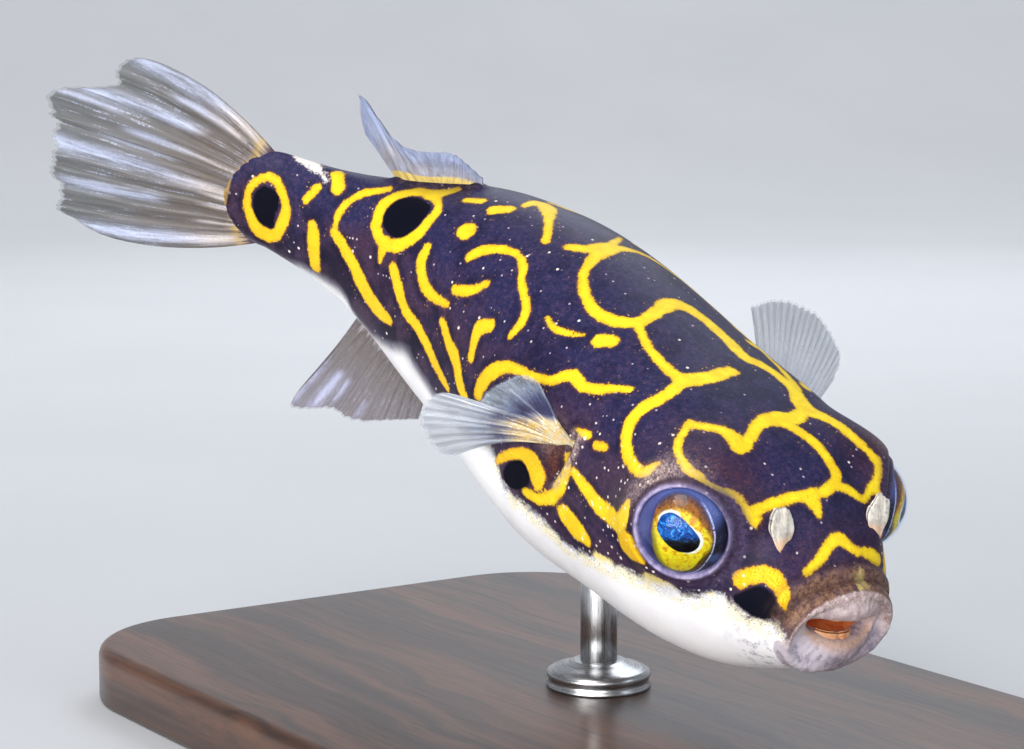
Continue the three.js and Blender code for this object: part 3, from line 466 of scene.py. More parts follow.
def left_flank(marks):
    """The far flank carries its own version of the near one's figures."""
    made = {}
    for name, (kind, rows) in marks.items():
        angles = [r[1] for r in rows]
        if min(angles) < 24 or name in ("hook", "comma", "arch", "blob_a", "rib_b", "heart_left"):
            continue
        made[name + "_left"] = (kind, [(s + 0.007 * math.sin(b / 9 + s * 31), -b * (1 + 0.035 * math.sin(s * 40)), w) for s, b, w in rows])
    made["left_hook"] = ("Y", [(0.640, -40, .6), (0.615, -35, .8), (0.585, -38, .8), (0.560, -47, .8), (0.568, -58, .8), (0.592, -66, .7), (0.598, -76, .5)])
    made["left_bar"] = ("Y", [(0.520, -40, .6), (0.500, -52, .9), (0.505, -64, .8), (0.488, -76, .6)])
    made["left_net_a"] = ("Y", [(0.4549, -32, 1.0), (0.470, -46, .8), (0.452, -60, .9), (0.418, -66, .9), (0.385, -60, .8), (0.372, -48, .8), (0.3387, -38, .9), (0.3387, -27, 1.0)])
    made["left_net_b"] = ("Y", [(0.372, -48, .8), (0.340, -57, .7), (0.318, -52, .5)])
    made["left_net_c"] = ("Y", [(0.2560, -33, 1.0), (0.272, -44, .9), (0.268, -56, .9), (0.243, -66, .8), (0.218, -72, .7), (0.200, -64, .5)])
    made["left_dot_a"] = ("Y", [(0.545, -24, 1.0), (0.538, -27, 1.0)])
    made["left_dot_b"] = ("Y", [(0.480, -86, 0.9), (0.470, -88, 0.9)])
    made["left_dorsal_drop"] = ("Y", [(0.655, -12, .7), (0.632, -16, .9), (0.618, -25, 1.0), (0.625, -36, .8)])
    made["left_dash"] = ("Y", [(0.735, -16, .7), (0.708, -18, .9)])
    made["left_ring_top"] = ("Y", [(0.8434, -40.8, .9), (0.838, -28, 1.0), (0.826, -18.8, 1.0), (0.805, -16.5, 1.1), (0.779, -18, 1.0), (0.764, -26, 1.0), (0.760, -35, 1.1), (0.768, -46, 1.0),
                                    (0.784, -56, 1.0), (0.806, -62, 1.1), (0.827, -60, 1.0), (0.841, -52, 1.0), (0.8434, -40.8, .9)])
    made["left_arc"] = ("Y", [(0.852, -19, .6), (0.872, -28, .6), (0.890, -42, .7), (0.897, -60, .6)])
    return made


def rounded(rows, steps=5):
    """Points of a smooth curve through rows."""
    r = np.array(rows, float)
    if len(r) < 3:
        t = np.linspace(0, 1, steps * 2)[:, None]
        return r[0] * (1 - t) + r[-1] * t
    ring = np.allclose(r[0, :2], r[-1, :2])
    a = np.vstack([r[-2] if ring else 2 * r[0] - r[1], r, r[1] if ring else 2 * r[-1] - r[-2]])
    t = np.arange(steps)[:, None] / steps
    out = []
    for i in range(1, len(a) - 2):
        p0, p1, p2, p3 = a[i - 1], a[i], a[i + 1], a[i + 2]
        out.append(0.5 * (2 * p1 + (p2 - p0) * t + (2 * p0 - 5 * p1 + 4 * p2 - p3) * t**2 + (3 * p1 - p0 - 3 * p2 + p3) * t**3))
    return np.vstack(out + [a[-2:-1]])


def soft_min(a, b, k):
    h = np.clip(0.5 + 0.5 * (b - a) / k, 0, 1)
    return b * (1 - h) + a * h - k * h * (1 - h)


FAR = 2.5


def curve_field(P, rows, field, join=0.18):
    """Folds the signed distance to one curve into a field over the points P."""
    r = rounded(rows)
    C = section(r[:, 0], np.radians(r[:, 1]))
    W = r[:, 2] / 2 - 0.02
    lo, hi = C.min(0) - FAR - W.max(), C.max(0) + FAR + W.max()
    near = np.nonzero(np.all((P > lo) & (P < hi), -1))[0]
    if not len(near):
        return
    Q = P[near]
    best = np.full(len(Q), FAR)
    for a, b, wa, wb in zip(C[:-1], C[1:], W[:-1], W[1:]):
        ab = b - a
        t = np.clip((Q - a) @ ab / (ab @ ab + 1e-9), 0, 1)
        best = np.minimum(best, np.linalg.norm(Q - a - t[:, None] * ab, axis=-1) - (wa + (wb - wa) * t))
    field[near] = soft_min(field[near], best, join)


def ring_distance(x, y, outline):
    """Signed distance to a closed outline, negative inside."""
    pts = rounded([(a, b, 0.0) for a, b in outline + outline[:1]], 6)[:, :2]
    p = np.stack([x, y], -1)
    best = np.full(x.shape, 9.0)
    inside = np.zeros(x.shape, bool)
    for a, b in zip(pts, np.roll(pts, -1, 0)):
        ab = b - a
        if ab @ ab < 1e-12:
            continue
        t = np.clip((p - a) @ ab / (ab @ ab), 0, 1)
        best = np.minimum(best, np.linalg.norm(p - a - t[..., None] * ab, axis=-1))
        if abs(ab[1]) > 1e-12:
            inside ^= ((a[1] > y) != (b[1] > y)) & (x < ab[0] * (y - a[1]) / ab[1] + a[0])
    return np.where(inside, -best, best)


def mark_fields(P0, S, B, Q, radii):
    """Every painted quantity as a value per skin point."""
    flat = P0.reshape(-1, 3)
    fields = {k: np.full(len(flat), FAR) for k in "YAP"}
    marks = dict(MARKS)
    marks.update(left_flank(MARKS))
    for kind, rows in marks.values():
        curve_field(flat, rows, fields[kind])
    dark = np.full(len(flat), FAR)
    for outline in SPOTS.values():
        for side in (1, -1):
            r = np.array(outline)
            O = section(r[:, 0], np.radians(side * r[:, 1]))
            s0, b0 = r[:, 0].mean(), math.radians(side * r[:, 1].mean())
            p = section(s0, b0)
            ts = section(s0 + 1e-3, b0) - p
            ts = ts / np.linalg.norm(ts)
            tb = section(s0, b0 + 0.02) - p
            tb = tb - (tb @ ts) * ts
            tb = tb / np.linalg.norm(tb)
            D = flat - p
            near = np.nonzero((np.linalg.norm(D, axis=-1) < 4.5) & (np.abs(D @ np.cross(ts, tb)) < 2.2))[0]
            ring = [(float(a), float(b)) for a, b in np.stack([(O - p) @ ts, (O - p) @ tb], -1)]
            dark[near] = np.minimum(dark[near], ring_distance(D[near] @ ts, D[near] @ tb, ring))
    smudge = np.zeros(S.shape)
    for s0, b0, u, v in SMUDGES:
        p = section(s0, math.radians(b0))
        p2 = p * 0 + section(s0, math.radians(-b0))
        for q in (p, p2):
            ts = section(s0 + 1e-3, math.radians(b0 if q is p else -b0)) - q
            ts = ts / np.linalg.norm(ts)
            D = (flat - q).reshape(S.shape + (3,))
            along = D @ ts
            across = np.sqrt(np.maximum(np.sum(D * D, -1) - along**2, 0))
            smudge += bell(along / u) * bell(across / v)
    deg = np.degrees(np.abs(B))
    arc = arc_from_back(P0)
    mid = P0.shape[1] // 2
    edge = np.interp(S[:, 0], [r[0] for r in BELLY_EDGE], [r[1] for r in BELLY_EDGE])
    belly = np.empty(S.shape)
    for i, e in enumerate(edge):
        right = np.interp(math.radians(e), B[i, mid:], arc[i, mid:])
        left = np.interp(math.radians(e), -B[i, mid::-1], -arc[i, mid::-1])
        belly[i] = np.where(B[i] >= 0, arc[i] - right, -arc[i] - left)
    yellow = np.minimum(fields["Y"], fields["A"])
    amber = smooth((fields["Y"] - fields["A"] + 0.15) / 0.5) * smooth((1.2 - fields["A"]) / 0.8)
    (rho_r, th_r), (rho_l, th_l) = radii
    rho, th = np.minimum(rho_r, rho_l), np.where(rho_r < rho_l, th_r, th_l)
    around = smooth(0.75 + 0.9 * np.cos(th + 2.53))
    lid = bell((rho - RIM - 0.01) / 0.16) * (0.22 + 0.78 * around) + (0.25 + 0.55 * around) * (rho < RIM)
    lid = np.clip(lid, 0, 1)
    # painted shade: darker purple round the front half of each lid
    orbit = smooth((4.2 - rho) / 0.9) * smooth((rho - 2.5) / 0.2) * smooth(0.15 + np.cos(th - 0.35))
    upper = smooth((108 - deg) / 26)
    g1 = 0.0155 + 0.006 * smooth(deg / 95)
    # painted shade: darkening in the lip grooves, the gill slit and the grooves round the eyes
    shade = 0.80 * bell((S - g1 + 0.001) * SL / 0.17) * upper
    shade += 0.55 * bell((S - g1 - 0.0155) * SL / 0.14) * smooth((92 - deg) / 20)
    shade += 0.12 * bell((S - 0.0150) * SL / 0.16) * smooth((deg - 118) / 15) * smooth((165 - deg) / 12)
    behind, run = gill_field(S, B)
    ends = smooth(run / 0.14) * smooth((1 - run) / 0.14)
    shade += 0.95 * bell((behind + 0.02) / 0.15) * ends
    shade += 0.70 * bell((rho - 3.08) / 0.15) * smooth(0.55 - 0.45 * np.cos(th + 0.2))
    shade += 0.30 * bell((rho - 3.24) / 0.22) * smooth(0.4 + np.cos(th - 0.1))
    # lips: lavender, from the mouth edge out to the groove above and below
    edge_up = 0.012 - 0.004 * upper
    lips = smooth((edge_up + 0.012 * (1 - upper) - S) / 0.008)
    inside = smooth((-0.0465 - S) / 0.004)
    muzzle = smooth((0.034 - S) / 0.012) * smooth((98 - deg) / 34)
    # pale, freckled patches: gill edge, above and behind the eye, fin roots
    pale = 1.25 * bell((behind + 0.42) / 0.26) * ends + 0.55 * bell((behind - 0.30) / 0.16) * ends * smooth((0.6 - run) / 0.3)
    pale += 0.75 * spot(S, np.abs(B), 0.1875, 62, 0.55, 1.6, 7.4)
    pale += 0.46 * bell((rho - 3.60) / 0.46) * smooth(np.cos(th - 2.35) * 1.8 - 0.75)
    pale += 0.70 * spot(S, np.abs(B), 0.352, 82, 0.75, 0.9, 8.3)
    # a real red-brown patch at the gill and brown on the snout top, plus painted shade over the brow in front of and
    # above each eye
    brown_and_brow_shade = 1.0 * spot(S, np.abs(B), 0.340, 89.0, 0.95, 1.35, 8.3)
    brown_and_brow_shade += 0.35 * bell((rho - 3.9) / 0.9) * smooth(np.sin(th + 0.6)) + 0.20 * smooth((0.09 - S) / 0.05) * smooth((80 - deg) / 30)
    cuff = smooth((S - 1.0590) / 0.002)
    # painted shadow: dark navy on the skin just in front of each eye, beyond the fold
    eye_front_shadow = 0.9 * bell((rho - 3.9) / 0.5) * smooth(np.cos(th + 0.35) * 1.5 - 0.5)
    lip_top = upper * smooth((S + 0.016) / 0.016) * smooth((0.03 - S) / 0.02)
    low_lip = 1 - smooth((112 - deg) / 26)
    brim = bell((S + 0.030) * SL / 0.36) * (0.20 + 0.80 * low_lip)
    # painted shadow on the back under the dorsal fin's root
    ridge = bell(B * 5.2 / 1.5) * smooth((S - 0.726) / 0.02) * smooth((0.866 - S) / 0.03)
    return {
        "m_yellow": yellow, "m_amber": amber, "m_cream": fields["P"], "m_dark": dark, "m_belly": belly, "m_lid": lid,
        "m_shade": np.clip(shade, 0, 1), "m_lips": lips, "m_inside": inside, "m_muzzle": muzzle,
        "m_pale": np.clip(pale, 0, 1), "m_brown_and_brow_shade": np.clip(brown_and_brow_shade, 0, 1), "m_eye_front_shadow": np.clip(eye_front_shadow, 0, 1), "m_dorsal_root_shadow": ridge,
        "m_smudge": np.clip(smudge, 0, 1),
        "m_flank": smooth((deg - 42) / 40), "m_rear": smooth((S - 0.40) / 0.12), "m_orbit": orbit,
        "m_salt": np.clip(smooth((deg - 52) / 22) * smooth((S - 0.02) / 0.1) * smooth((0.36 - S) / 0.06) + 0.35 * smooth((deg - 55) / 20), 0, 1),
        "m_lip_top": lip_top, "m_lip_low": low_lip, "m_side": P0[..., 1] * -1.0, "m_brim": brim,
        "m_chin": smooth((deg - 96) / 22) * smooth((0.085 - S) / 0.05), "m_snout": smooth((0.16 - S) / 0.1) * (1 - smooth((deg - 100) / 20)), "m_tail": smooth((S - 0.9) / 0.03), "m_cuff": cuff,
    }


# ----------------------------------------------------------- mesh and material
def to_row(p):
    """Fish frame in mm to the row frame in metres."""
    p = np.asarray(p, float)
    c, s = math.cos(PITCH), math.sin(PITCH)
    x = p[..., 0] * c + p[..., 2] * s
    z = -p[..., 0] * s + p[..., 2] * c
    return (np.stack([x, p[..., 1], z], -1) + PLACE) / 1000.0


def lin(r, g, b):
    f = lambda v: v / 12.92 if v <= 0.04045 else ((v + 0.055) / 1.055) ** 2.4
    return (f(r / 255), f(g / 255), f(b / 255), 1.0)


def piece(name, points, faces, material, fields=None, uv=None, stands_for=(), smooth_faces=True):
    """A mesh piece; points in row-frame metres, faces as equal-length rows of indices or a list of such arrays."""
    groups = [np.asarray(f, np.int32) for f in (faces if isinstance(faces, list) else [faces]) if len(f)]
    loops = np.concatenate([g.ravel() for g in groups])
    sizes = np.concatenate([np.full(len(g), g.shape[1], np.int32) for g in groups])
    starts = np.concatenate([[0], np.cumsum(sizes)[:-1]]).astype(np.int32)
    me = bpy.data.meshes.new(name)
    me.vertices.add(len(points))
    me.vertices.foreach_set("co", np.asarray(points, np.float32).ravel())
    me.loops.add(len(loops))
    me.loops.foreach_set("vertex_index", loops)
    me.polygons.add(len(sizes))
    me.polygons.foreach_set("loop_start", starts)
    me.update(calc_edges=True)
    me.polygons.foreach_set("use_smooth", np.full(len(sizes), smooth_faces))
    layer = me.uv_layers.new(name="OFBake")
    if uv is not None:
        loop_uv = uv[loops] if len(uv) == len(points) else uv
        layer.data.foreach_set("uv", np.asarray(loop_uv, np.float32).ravel())
    for key, values in (fields or {}).items():
        at = me.attributes.new(key, "FLOAT", "POINT")
        at.data.foreach_set("value", np.asarray(values, np.float32).ravel())
    me.validate()
    me.update()
    ob = bpy.data.objects.new(name, me)
    bpy.context.collection.objects.link(ob)
    me.materials.append(material)
    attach(ob, "root")
    if stands_for:
        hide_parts(*stands_for)
    return ob


def quads(rows, cols, wrap=False, start=0):
    """Quad indices of a rows x cols grid."""
    i = np.arange(rows - 1)[:, None] * cols
    j = np.arange(cols if wrap else cols - 1)[None]
    k = (j + 1) % cols
    return start + np.stack([i + j, i + k, i + cols + k, i + cols + j], -1).reshape(-1, 4)


def outward(points, faces):
    """Turns every face over if the closed mesh's volume is negative."""
    groups = faces if isinstance(faces, list) else [faces]
    v = 0.0
    for g in groups:
        a = points[g[:, 0]]
        for k in range(1, g.shape[1] - 1):
            v += np.sum(a * np.cross(points[g[:, k]], points[g[:, k + 1]]))
    out = [g[:, ::-1] for g in groups] if v < 0 else groups
    return out


class Mat:
    """A procedural material, written as plain expressions."""

    def __init__(self, name, **fixed):
        self.m = bpy.data.materials.new(name)
        self.m.use_nodes = True
        self.t = self.m.node_tree
        self.t.nodes.clear()
        self.out = self.t.nodes.new("ShaderNodeOutputMaterial")
        self.b = self.t.nodes.new("ShaderNodeBsdfPrincipled")
        self.t.links.new(self.b.outputs[0], self.out.inputs[0])
        for k, v in fixed.items():
            self.b.inputs[k.replace("_", " ")].default_value = v
        self.P = self.vec("SCALE", self.t.nodes.new("ShaderNodeTexCoord").outputs["Object"], scale=1000.0)

    def put(self, socket, v):
        if isinstance(v, bpy.types.NodeSocket):
            self.t.links.new(v, socket)
        elif v is not None:
            socket.default_value = v

    def set(self, **kw):
        for k, v in kw.items():
            self.put(self.b.inputs[k.replace("_", " ")], v)

    def math(self, op, a, b=0.0, c=0.0, clamp=False):
        n = self.t.nodes.new("ShaderNodeMath")
        n.operation, n.use_clamp = op, clamp
        for s, v in zip(n.inputs, (a, b, c)):
            self.put(s, v)
        return n.outputs[0]

    def add(self, *v):
        r = v[0]
        for x in v[1:]:
            r = self.math("ADD", r, x)
        return r

    def mul(self, *v):
        r = v[0]
        for x in v[1:]:
            r = self.math("MULTIPLY", r, x)
        return r

    def inv(self, a):
        return self.math("SUBTRACT", 1.0, a, clamp=True)

    def most(self, a, b):
        return self.math("MAXIMUM", a, b)

    def vec(self, op, a, b=None, scale=None):
        n = self.t.nodes.new("ShaderNodeVectorMath")
        n.operation = op
        self.put(n.inputs[0], a)
        if b is not None:
            self.put(n.inputs[1], b)
        if scale is not None:
            self.put(n.inputs["Scale"], scale)
        return n.outputs[1] if op in ("LENGTH", "DISTANCE", "DOT_PRODUCT") else n.outputs[0]

    def mix(self, f, a, b, how="MIX"):
        n = self.t.nodes.new("ShaderNodeMix")
        n.data_type, n.blend_type = "RGBA", how
        self.put(n.inputs[0], f)
        self.put(n.inputs[6], a)
        self.put(n.inputs[7], b)
        return n.outputs[2]

    def noise(self, scale, detail=2.0, rough=0.5, at=None, shift=None, distort=0.0):
        n = self.t.nodes.new("ShaderNodeTexNoise")
        v = self.P if at is None else at
        if shift is not None:
            v = self.vec("ADD", v, shift)
        self.put(n.inputs["Vector"], v)
        n.inputs["Scale"].default_value, n.inputs["Detail"].default_value = scale, detail
        n.inputs["Roughness"].default_value, n.inputs["Distortion"].default_value = rough, distort
        return n.outputs["Fac"]

    def cells(self, scale, feature="F1", at=None, what="Distance", rand=1.0):
        n = self.t.nodes.new("ShaderNodeTexVoronoi")
        n.feature = feature
        self.put(n.inputs["Vector"], self.P if at is None else at)
        n.inputs["Scale"].default_value, n.inputs["Randomness"].default_value = scale, rand
        return n.outputs[what]

    def step(self, x, lo, hi):
        """0 below lo, 1 above hi, smooth between; hi may be under lo."""
        n = self.t.nodes.new("ShaderNodeMapRange")
        n.interpolation_type = "SMOOTHSTEP"
        self.put(n.inputs[0], x)
        flip = hi < lo
        a, b = (hi, lo) if flip else (lo, hi)
        n.inputs[1].default_value, n.inputs[2].default_value = a, b
        n.inputs[3].default_value, n.inputs[4].default_value = (1.0, 0.0) if flip else (0.0, 1.0)
        return n.outputs[0]

    def attr(self, name):
        n = self.t.nodes.new("ShaderNodeAttribute")
        n.attribute_type, n.attribute_name = "GEOMETRY", name
        return n.outputs["Fac"]

    def split(self, v):
        n = self.t.nodes.new("ShaderNodeSeparateXYZ")
        self.put(n.inputs[0], v)
        return n.outputs

    def join(self, x, y, z=0.0):
        n = self.t.nodes.new("ShaderNodeCombineXYZ")
        for s, v in zip(n.inputs, (x, y, z)):
            self.put(s, v)
        return n.outputs[0]

    def bump(self, height, mm, strength=1.0):
        n = self.t.nodes.new("ShaderNodeBump")
        n.inputs["Strength"].default_value = strength
        n.inputs["Distance"].default_value = mm / 1000.0
        self.put(n.inputs["Height"], height)
        self.t.links.new(n.outputs[0], self.b.inputs["Normal"])


def skin_material():
    k = Mat("puffer_skin", Specular_IOR_Level=0.09)
    n1 = k.math("SUBTRACT", k.noise(1.5, 2, 0.5), 0.5)
    n2 = k.math("SUBTRACT", k.noise(5.5, 2, 0.6, shift=(3, 1, 7)), 0.5)
    n3 = k.noise(13.0, 2, 0.6, shift=(9, 4, 2))
    broad = k.noise(0.30, 3, 0.55, shift=(5, 5, 5))
    mott = k.noise(3.2, 5, 0.68, shift=(1, 8, 3))
    fleck = k.noise(8.5, 3, 0.7, shift=(2, 2, 9))
    flank = k.attr("m_flank")
    # dark ground: indigo on the back, plum on the flank, finely mottled
    tone = k.add(k.mul(flank, 0.75), k.mul(k.math("SUBTRACT", broad, 0.5), 1.6))
    dark = k.mix(k.step(tone, 0.05, 0.85), lin(38, 39, 75), lin(60, 43, 63))
    dark = k.mix(k.mul(k.step(mott, 0.44, 0.72), 0.60), dark, lin(84, 66, 92))
    dark = k.mix(k.mul(k.step(mott, 0.44, 0.26), 0.55), dark, lin(24, 20, 42))
    dark = k.mix(k.mul(k.step(n3, 0.50, 0.32), 0.45), dark, lin(18, 15, 32))
    blot = k.step(k.noise(0.42, 3, 0.6, shift=(6, 1, 4)), 0.50, 0.64)
    dark = k.mix(k.mul(blot, 0.60), dark, lin(22, 24, 52))
    dark = k.mix(k.mul(k.step(fleck, 0.58, 0.74), 0.34), dark, lin(128, 106, 128))
    dark = k.mix(k.mul(k.step(k.noise(6.0, 2, 0.6, shift=(7, 3, 3)), 0.60, 0.70), 0.22, k.step(broad, 0.4, 0.6)), dark, lin(112, 62, 56))
    # red-brown patches; over the brow this brown is painted shade
    dark = k.mix(k.math("MULTIPLY", k.attr("m_brown_and_brow_shade"), k.add(0.45, k.step(mott, 0.30, 0.62)), clamp=True), dark, k.mix(k.step(fleck, 0.50, 0.66), lin(78, 40, 36), lin(112, 70, 58)))
    # painted shadow in front of each eye
    dark = k.mix(k.mul(k.attr("m_eye_front_shadow"), 0.85), dark, lin(20, 22, 46))
    beside = k.mul(k.step(k.attr("m_yellow"), 0.75, 0.20), k.add(0.25, k.mul(flank, 0.45)), k.step(k.noise(0.8, 3, 0.6, shift=(3, 9, 5)), 0.38, 0.60))
    dark = k.mix(beside, dark, lin(17, 19, 40))
    sooty = k.mul(k.step(k.attr("m_belly"), -3.4, -1.2), k.attr("m_rear"), k.step(k.noise(0.55, 3, 0.6, shift=(9, 2, 6)), 0.40, 0.56))
    dark = k.mix(k.mul(sooty, 0.62), dark, lin(14, 15, 32))
    # pale specks, like grains of salt, thickest over the cheeks
    where = k.attr("m_salt")
    at = k.vec("ADD", k.P, (0.3, 0.9, 0.1))
    big = k.math("SUBTRACT", k.add(0.068, k.mul(where, 0.036)), k.mul(n2, 0.03))
    dot = k.step(k.math("SUBTRACT", k.cells(0.80, at=at), big), 0.035, -0.02)
    pick = k.step(k.math("SUBTRACT", k.split(k.cells(0.80, at=at, what="Color"))[0], k.mul(where, 0.55)), 0.62, 0.59)
    salt = k.mul(dot, pick)
    at = k.vec("ADD", k.P, (4.3, 2.9, 7.1))
    dot = k.step(k.math("SUBTRACT", k.cells(2.0, at=at), k.mul(where, 0.035)), 0.185, 0.105)
    pick = k.step(k.math("SUBTRACT", k.split(k.cells(2.0, at=at, what="Color"))[1], k.mul(where, 0.50)), 0.18, 0.16)
    salt_fine = k.mul(dot, pick, 0.88)
    dark = k.mix(salt_fine, dark, k.mix(where, lin(182, 166, 184), lin(228, 214, 206)))
    dark = k.mix(k.mul(salt, 0.95), dark, lin(236, 222, 214))
    # yellow figures with slightly grainy edges
    jit = k.add(k.mul(n1, 0.30), k.mul(n2, 0.27), k.mul(k.math("SUBTRACT", n3, 0.5), 0.18))
    yel = k.add(k.attr("m_yellow"), jit)
    amber = k.attr("m_amber")
    lemon = k.mix(k.step(k.noise(1.1, 3, 0.6, shift=(7, 7, 1)), 0.35, 0.68), lin(232, 194, 12), lin(242, 216, 26))
    gold = k.mix(k.step(n3, 0.35, 0.65), lin(232, 168, 6), lin(250, 202, 14))
    bright = k.mix(amber, lemon, gold)
    warm = k.math("MULTIPLY", k.add(k.mul(flank, 0.55), k.mul(k.attr("m_rear"), 0.45), k.mul(n1, 0.5)), 0.62, clamp=True)
    bright = k.mix(warm, bright, lin(222, 166, 10))
    bright = k.mix(k.mul(k.step(yel, -0.27, 0.04), 0.80), bright, lin(190, 130, 18))
    bright = k.mix(k.mul(k.step(n3, 0.40, 0.62), 0.25), bright, lin(250, 236, 96))
    grit = k.mul(k.step(fleck, 0.56, 0.66), k.step(k.attr("m_snout"), 0.1, 0.9))
    bright = k.mix(k.mul(grit, 0.45), bright, lin(176, 112, 26))
    on = k.step(yel, 0.045, -0.065)
    col = k.mix(on, dark, bright)
    halo = k.mul(k.step(yel, 0.20, 0.04), k.inv(on))
    col = k.mix(k.mul(halo, 0.30), col, lin(108, 66, 46))
    # loose yellow grains near the figures
    freck = k.step(k.math("SUBTRACT", k.noise(0.9, 2, shift=(2, 6, 1)), k.mul(k.attr("m_snout"), 0.16)), 0.52, 0.60)
    grain = k.mul(k.step(k.add(k.cells(3.0), k.mul(n2, 0.1)), 0.22, 0.12), k.step(k.attr("m_yellow"), 0.95, 0.15), freck)
    col = k.mix(k.mul(grain, 0.65, k.inv(on)), col, lin(206, 158, 60))
    col = k.mix(k.mul(on, k.most(salt, salt_fine), k.step(where, 0.3, 0.9), 0.85), col, lin(250, 242, 214))
    # cream patches and pale freckled skin
    cream = k.step(k.add(k.attr("m_cream"), k.mul(jit, 2.2)), 0.16, -0.16)
    cream_tone = k.mix(k.attr("m_tail"), k.mix(n3, lin(246, 222, 96), lin(244, 232, 176)), k.mix(n3, lin(226, 210, 204), lin(250, 244, 236)))
    col = k.mix(k.mul(cream, 0.9), col, cream_tone)
    pale = k.math("MULTIPLY", k.attr("m_pale"), k.add(0.30, k.mul(k.step(k.add(mott, k.mul(n2, 0.6)), 0.36, 0.60), 0.62)), clamp=True)
    col = k.mix(pale, col, k.mix(k.step(fleck, 0.40, 0.66), lin(140, 116, 114), lin(206, 188, 178)))
    # belly: white; along the cheek its edge is grainy with pale yellow, behind
    # the pectoral fin it melts through a soft grey band
    bel, rear = k.attr("m_belly"), k.attr("m_rear")
    grainy = k.add(k.mul(n1, 1.0), k.mul(n2, 0.85), k.mul(k.math("SUBTRACT", n3, 0.5), 0.6))
    softly = k.add(k.mul(n1, 0.35), k.mul(n2, 0.10))
    fade = k.add(bel, k.mul(k.inv(rear), grainy), k.mul(rear, softly))
    front_edge, rear_edge = k.step(fade, -0.42, 0.42), k.step(fade, -0.55, 0.75)
    under = k.add(k.mul(k.inv(rear), front_edge), k.mul(rear, rear_edge))
    white = k.mix(k.step(k.noise(0.5, 3, 0.6, shift=(8, 2, 2)), 0.35, 0.7), lin(253, 253, 254), lin(246, 245, 249))
    white = k.mix(k.mul(k.step(mott, 0.58, 0.76), 0.10), white, lin(206, 202, 214))
    edge_zone = k.mul(k.step(bel, -0.5, 0.15), k.step(bel, 1.7, 0.5), k.inv(k.mul(rear, 0.7)))
    blush = k.mul(edge_zone, k.step(k.add(k.noise(0.75, 3, 0.6, shift=(1, 3, 9)), k.mul(n2, 0.15)), 0.45, 0.56))
    white = k.mix(k.mul(blush, 0.42), white, lin(248, 230, 130))
    pepper = k.mul(k.step(bel, 1.9, 0.1), k.step(fleck, 0.54, 0.64), k.inv(k.mul(rear, 0.8)))
    white = k.mix(k.mul(pepper, 0.70), white, lin(70, 56, 70))
    chin = k.mul(k.attr("m_snout"), k.step(k.add(k.noise(1.9, 4, 0.7, shift=(4, 2, 6)), k.mul(n2, 0.3)), 0.53, 0.66), k.step(k.attr("m_chin"), 0.1, 0.8))
    grey_chin = k.mul(k.attr("m_chin"), k.step(k.attr("m_snout"), 0.55, 0.98), k.step(k.attr("m_side"), 2.6, 0.6))
    white = k.mix(k.mul(grey_chin, 0.55), white, lin(160, 152, 172))
    white = k.mix(k.mul(chin, 0.75), white, lin(112, 104, 128))
    haze = k.mul(rear, k.step(fade, 1.25, 0.0))
    white = k.mix(k.mul(haze, 0.72), white, lin(112, 112, 138))
    col = k.mix(k.mul(under, k.inv(k.mul(on, k.step(bel, 1.3, 0.2)))), col, white)
    # smudges and spots
    col = k.mix(k.mul(k.attr("m_smudge"), 0.62, k.inv(k.mul(on, 0.8))), col, lin(22, 20, 40))
    spot_at = k.add(k.attr("m_dark"), k.mul(n2, 0.10), k.mul(k.math("SUBTRACT", n3, 0.5), 0.10))
    col = k.mix(k.step(spot_at, 0.10, -0.12), col, k.mix(n3, lin(2, 3, 11), lin(7, 9, 28)))
    # muzzle, lips and mouth
    muz = k.mix(k.step(mott, 0.36, 0.66), lin(86, 60, 50), lin(146, 112, 92))
    muz = k.mix(k.mul(k.step(fleck, 0.50, 0.66), 0.55), muz, lin(164, 126, 80))
    col = k.mix(k.mul(k.attr("m_muzzle"), k.inv(on), k.add(0.45, k.mul(k.step(k.noise(1.2, 4, 0.6, shift=(2, 5, 8)), 0.36, 0.60), 0.42))), col, muz)
    crown = k.attr("m_lip_top")
    lip = k.mix(k.step(k.noise(2.2, 4, 0.6, shift=(3, 3, 3)), 0.36, 0.66), lin(184, 164, 168), lin(220, 204, 204))
    lip = k.mix(k.mul(k.step(n3, 0.56, 0.70), 0.40), lip, lin(222, 212, 220))
    freckle = k.math("MULTIPLY", k.step(k.noise(6.5, 3, 0.7, shift=(5, 1, 4)), 0.50, 0.64), k.add(0.12, k.mul(crown, 0.70)), clamp=True)
    lip = k.mix(freckle, lip, lin(122, 94, 78))
    lip = k.mix(k.mul(crown, k.step(mott, 0.34, 0.64), 0.55), lip, lin(140, 116, 102))
    lower = k.attr("m_lip_low")
    lip = k.mix(k.mul(lower, 0.82), lip, k.mix(k.step(mott, 0.36, 0.64), lin(114, 102, 118), lin(172, 160, 174)))
    lip = k.mix(k.mul(lower, k.step(k.attr("m_side"), 0.0, 1.6), 0.60), lip, lin(216, 208, 220))
    edge = k.math("SUBTRACT", k.attr("m_lips"), k.mul(k.math("SUBTRACT", mott, 0.5), 0.9))
    col = k.mix(k.mul(k.step(edge, 0.28, 0.72), 0.94), col, lip)
    blots = k.mul(k.step(k.add(k.noise(1.5, 4, 0.7, shift=(6, 2, 2)), k.mul(n2, 0.2)), 0.50, 0.64), k.attr("m_chin"))
    col = k.mix(k.mul(blots, 0.60), col, lin(108, 100, 124))
    brim = k.mul(k.attr("m_brim"), k.add(0.5, k.mul(k.step(mott, 0.35, 0.6), 0.5)))
    col = k.mix(k.mul(brim, 0.9), col, k.mix(n3, lin(186, 140, 104), lin(206, 172, 148)))
    flesh = k.mix(k.step(k.noise(1.5, 3, shift=(2, 9, 2)), 0.35, 0.65), lin(214, 104, 56), lin(232, 138, 80))
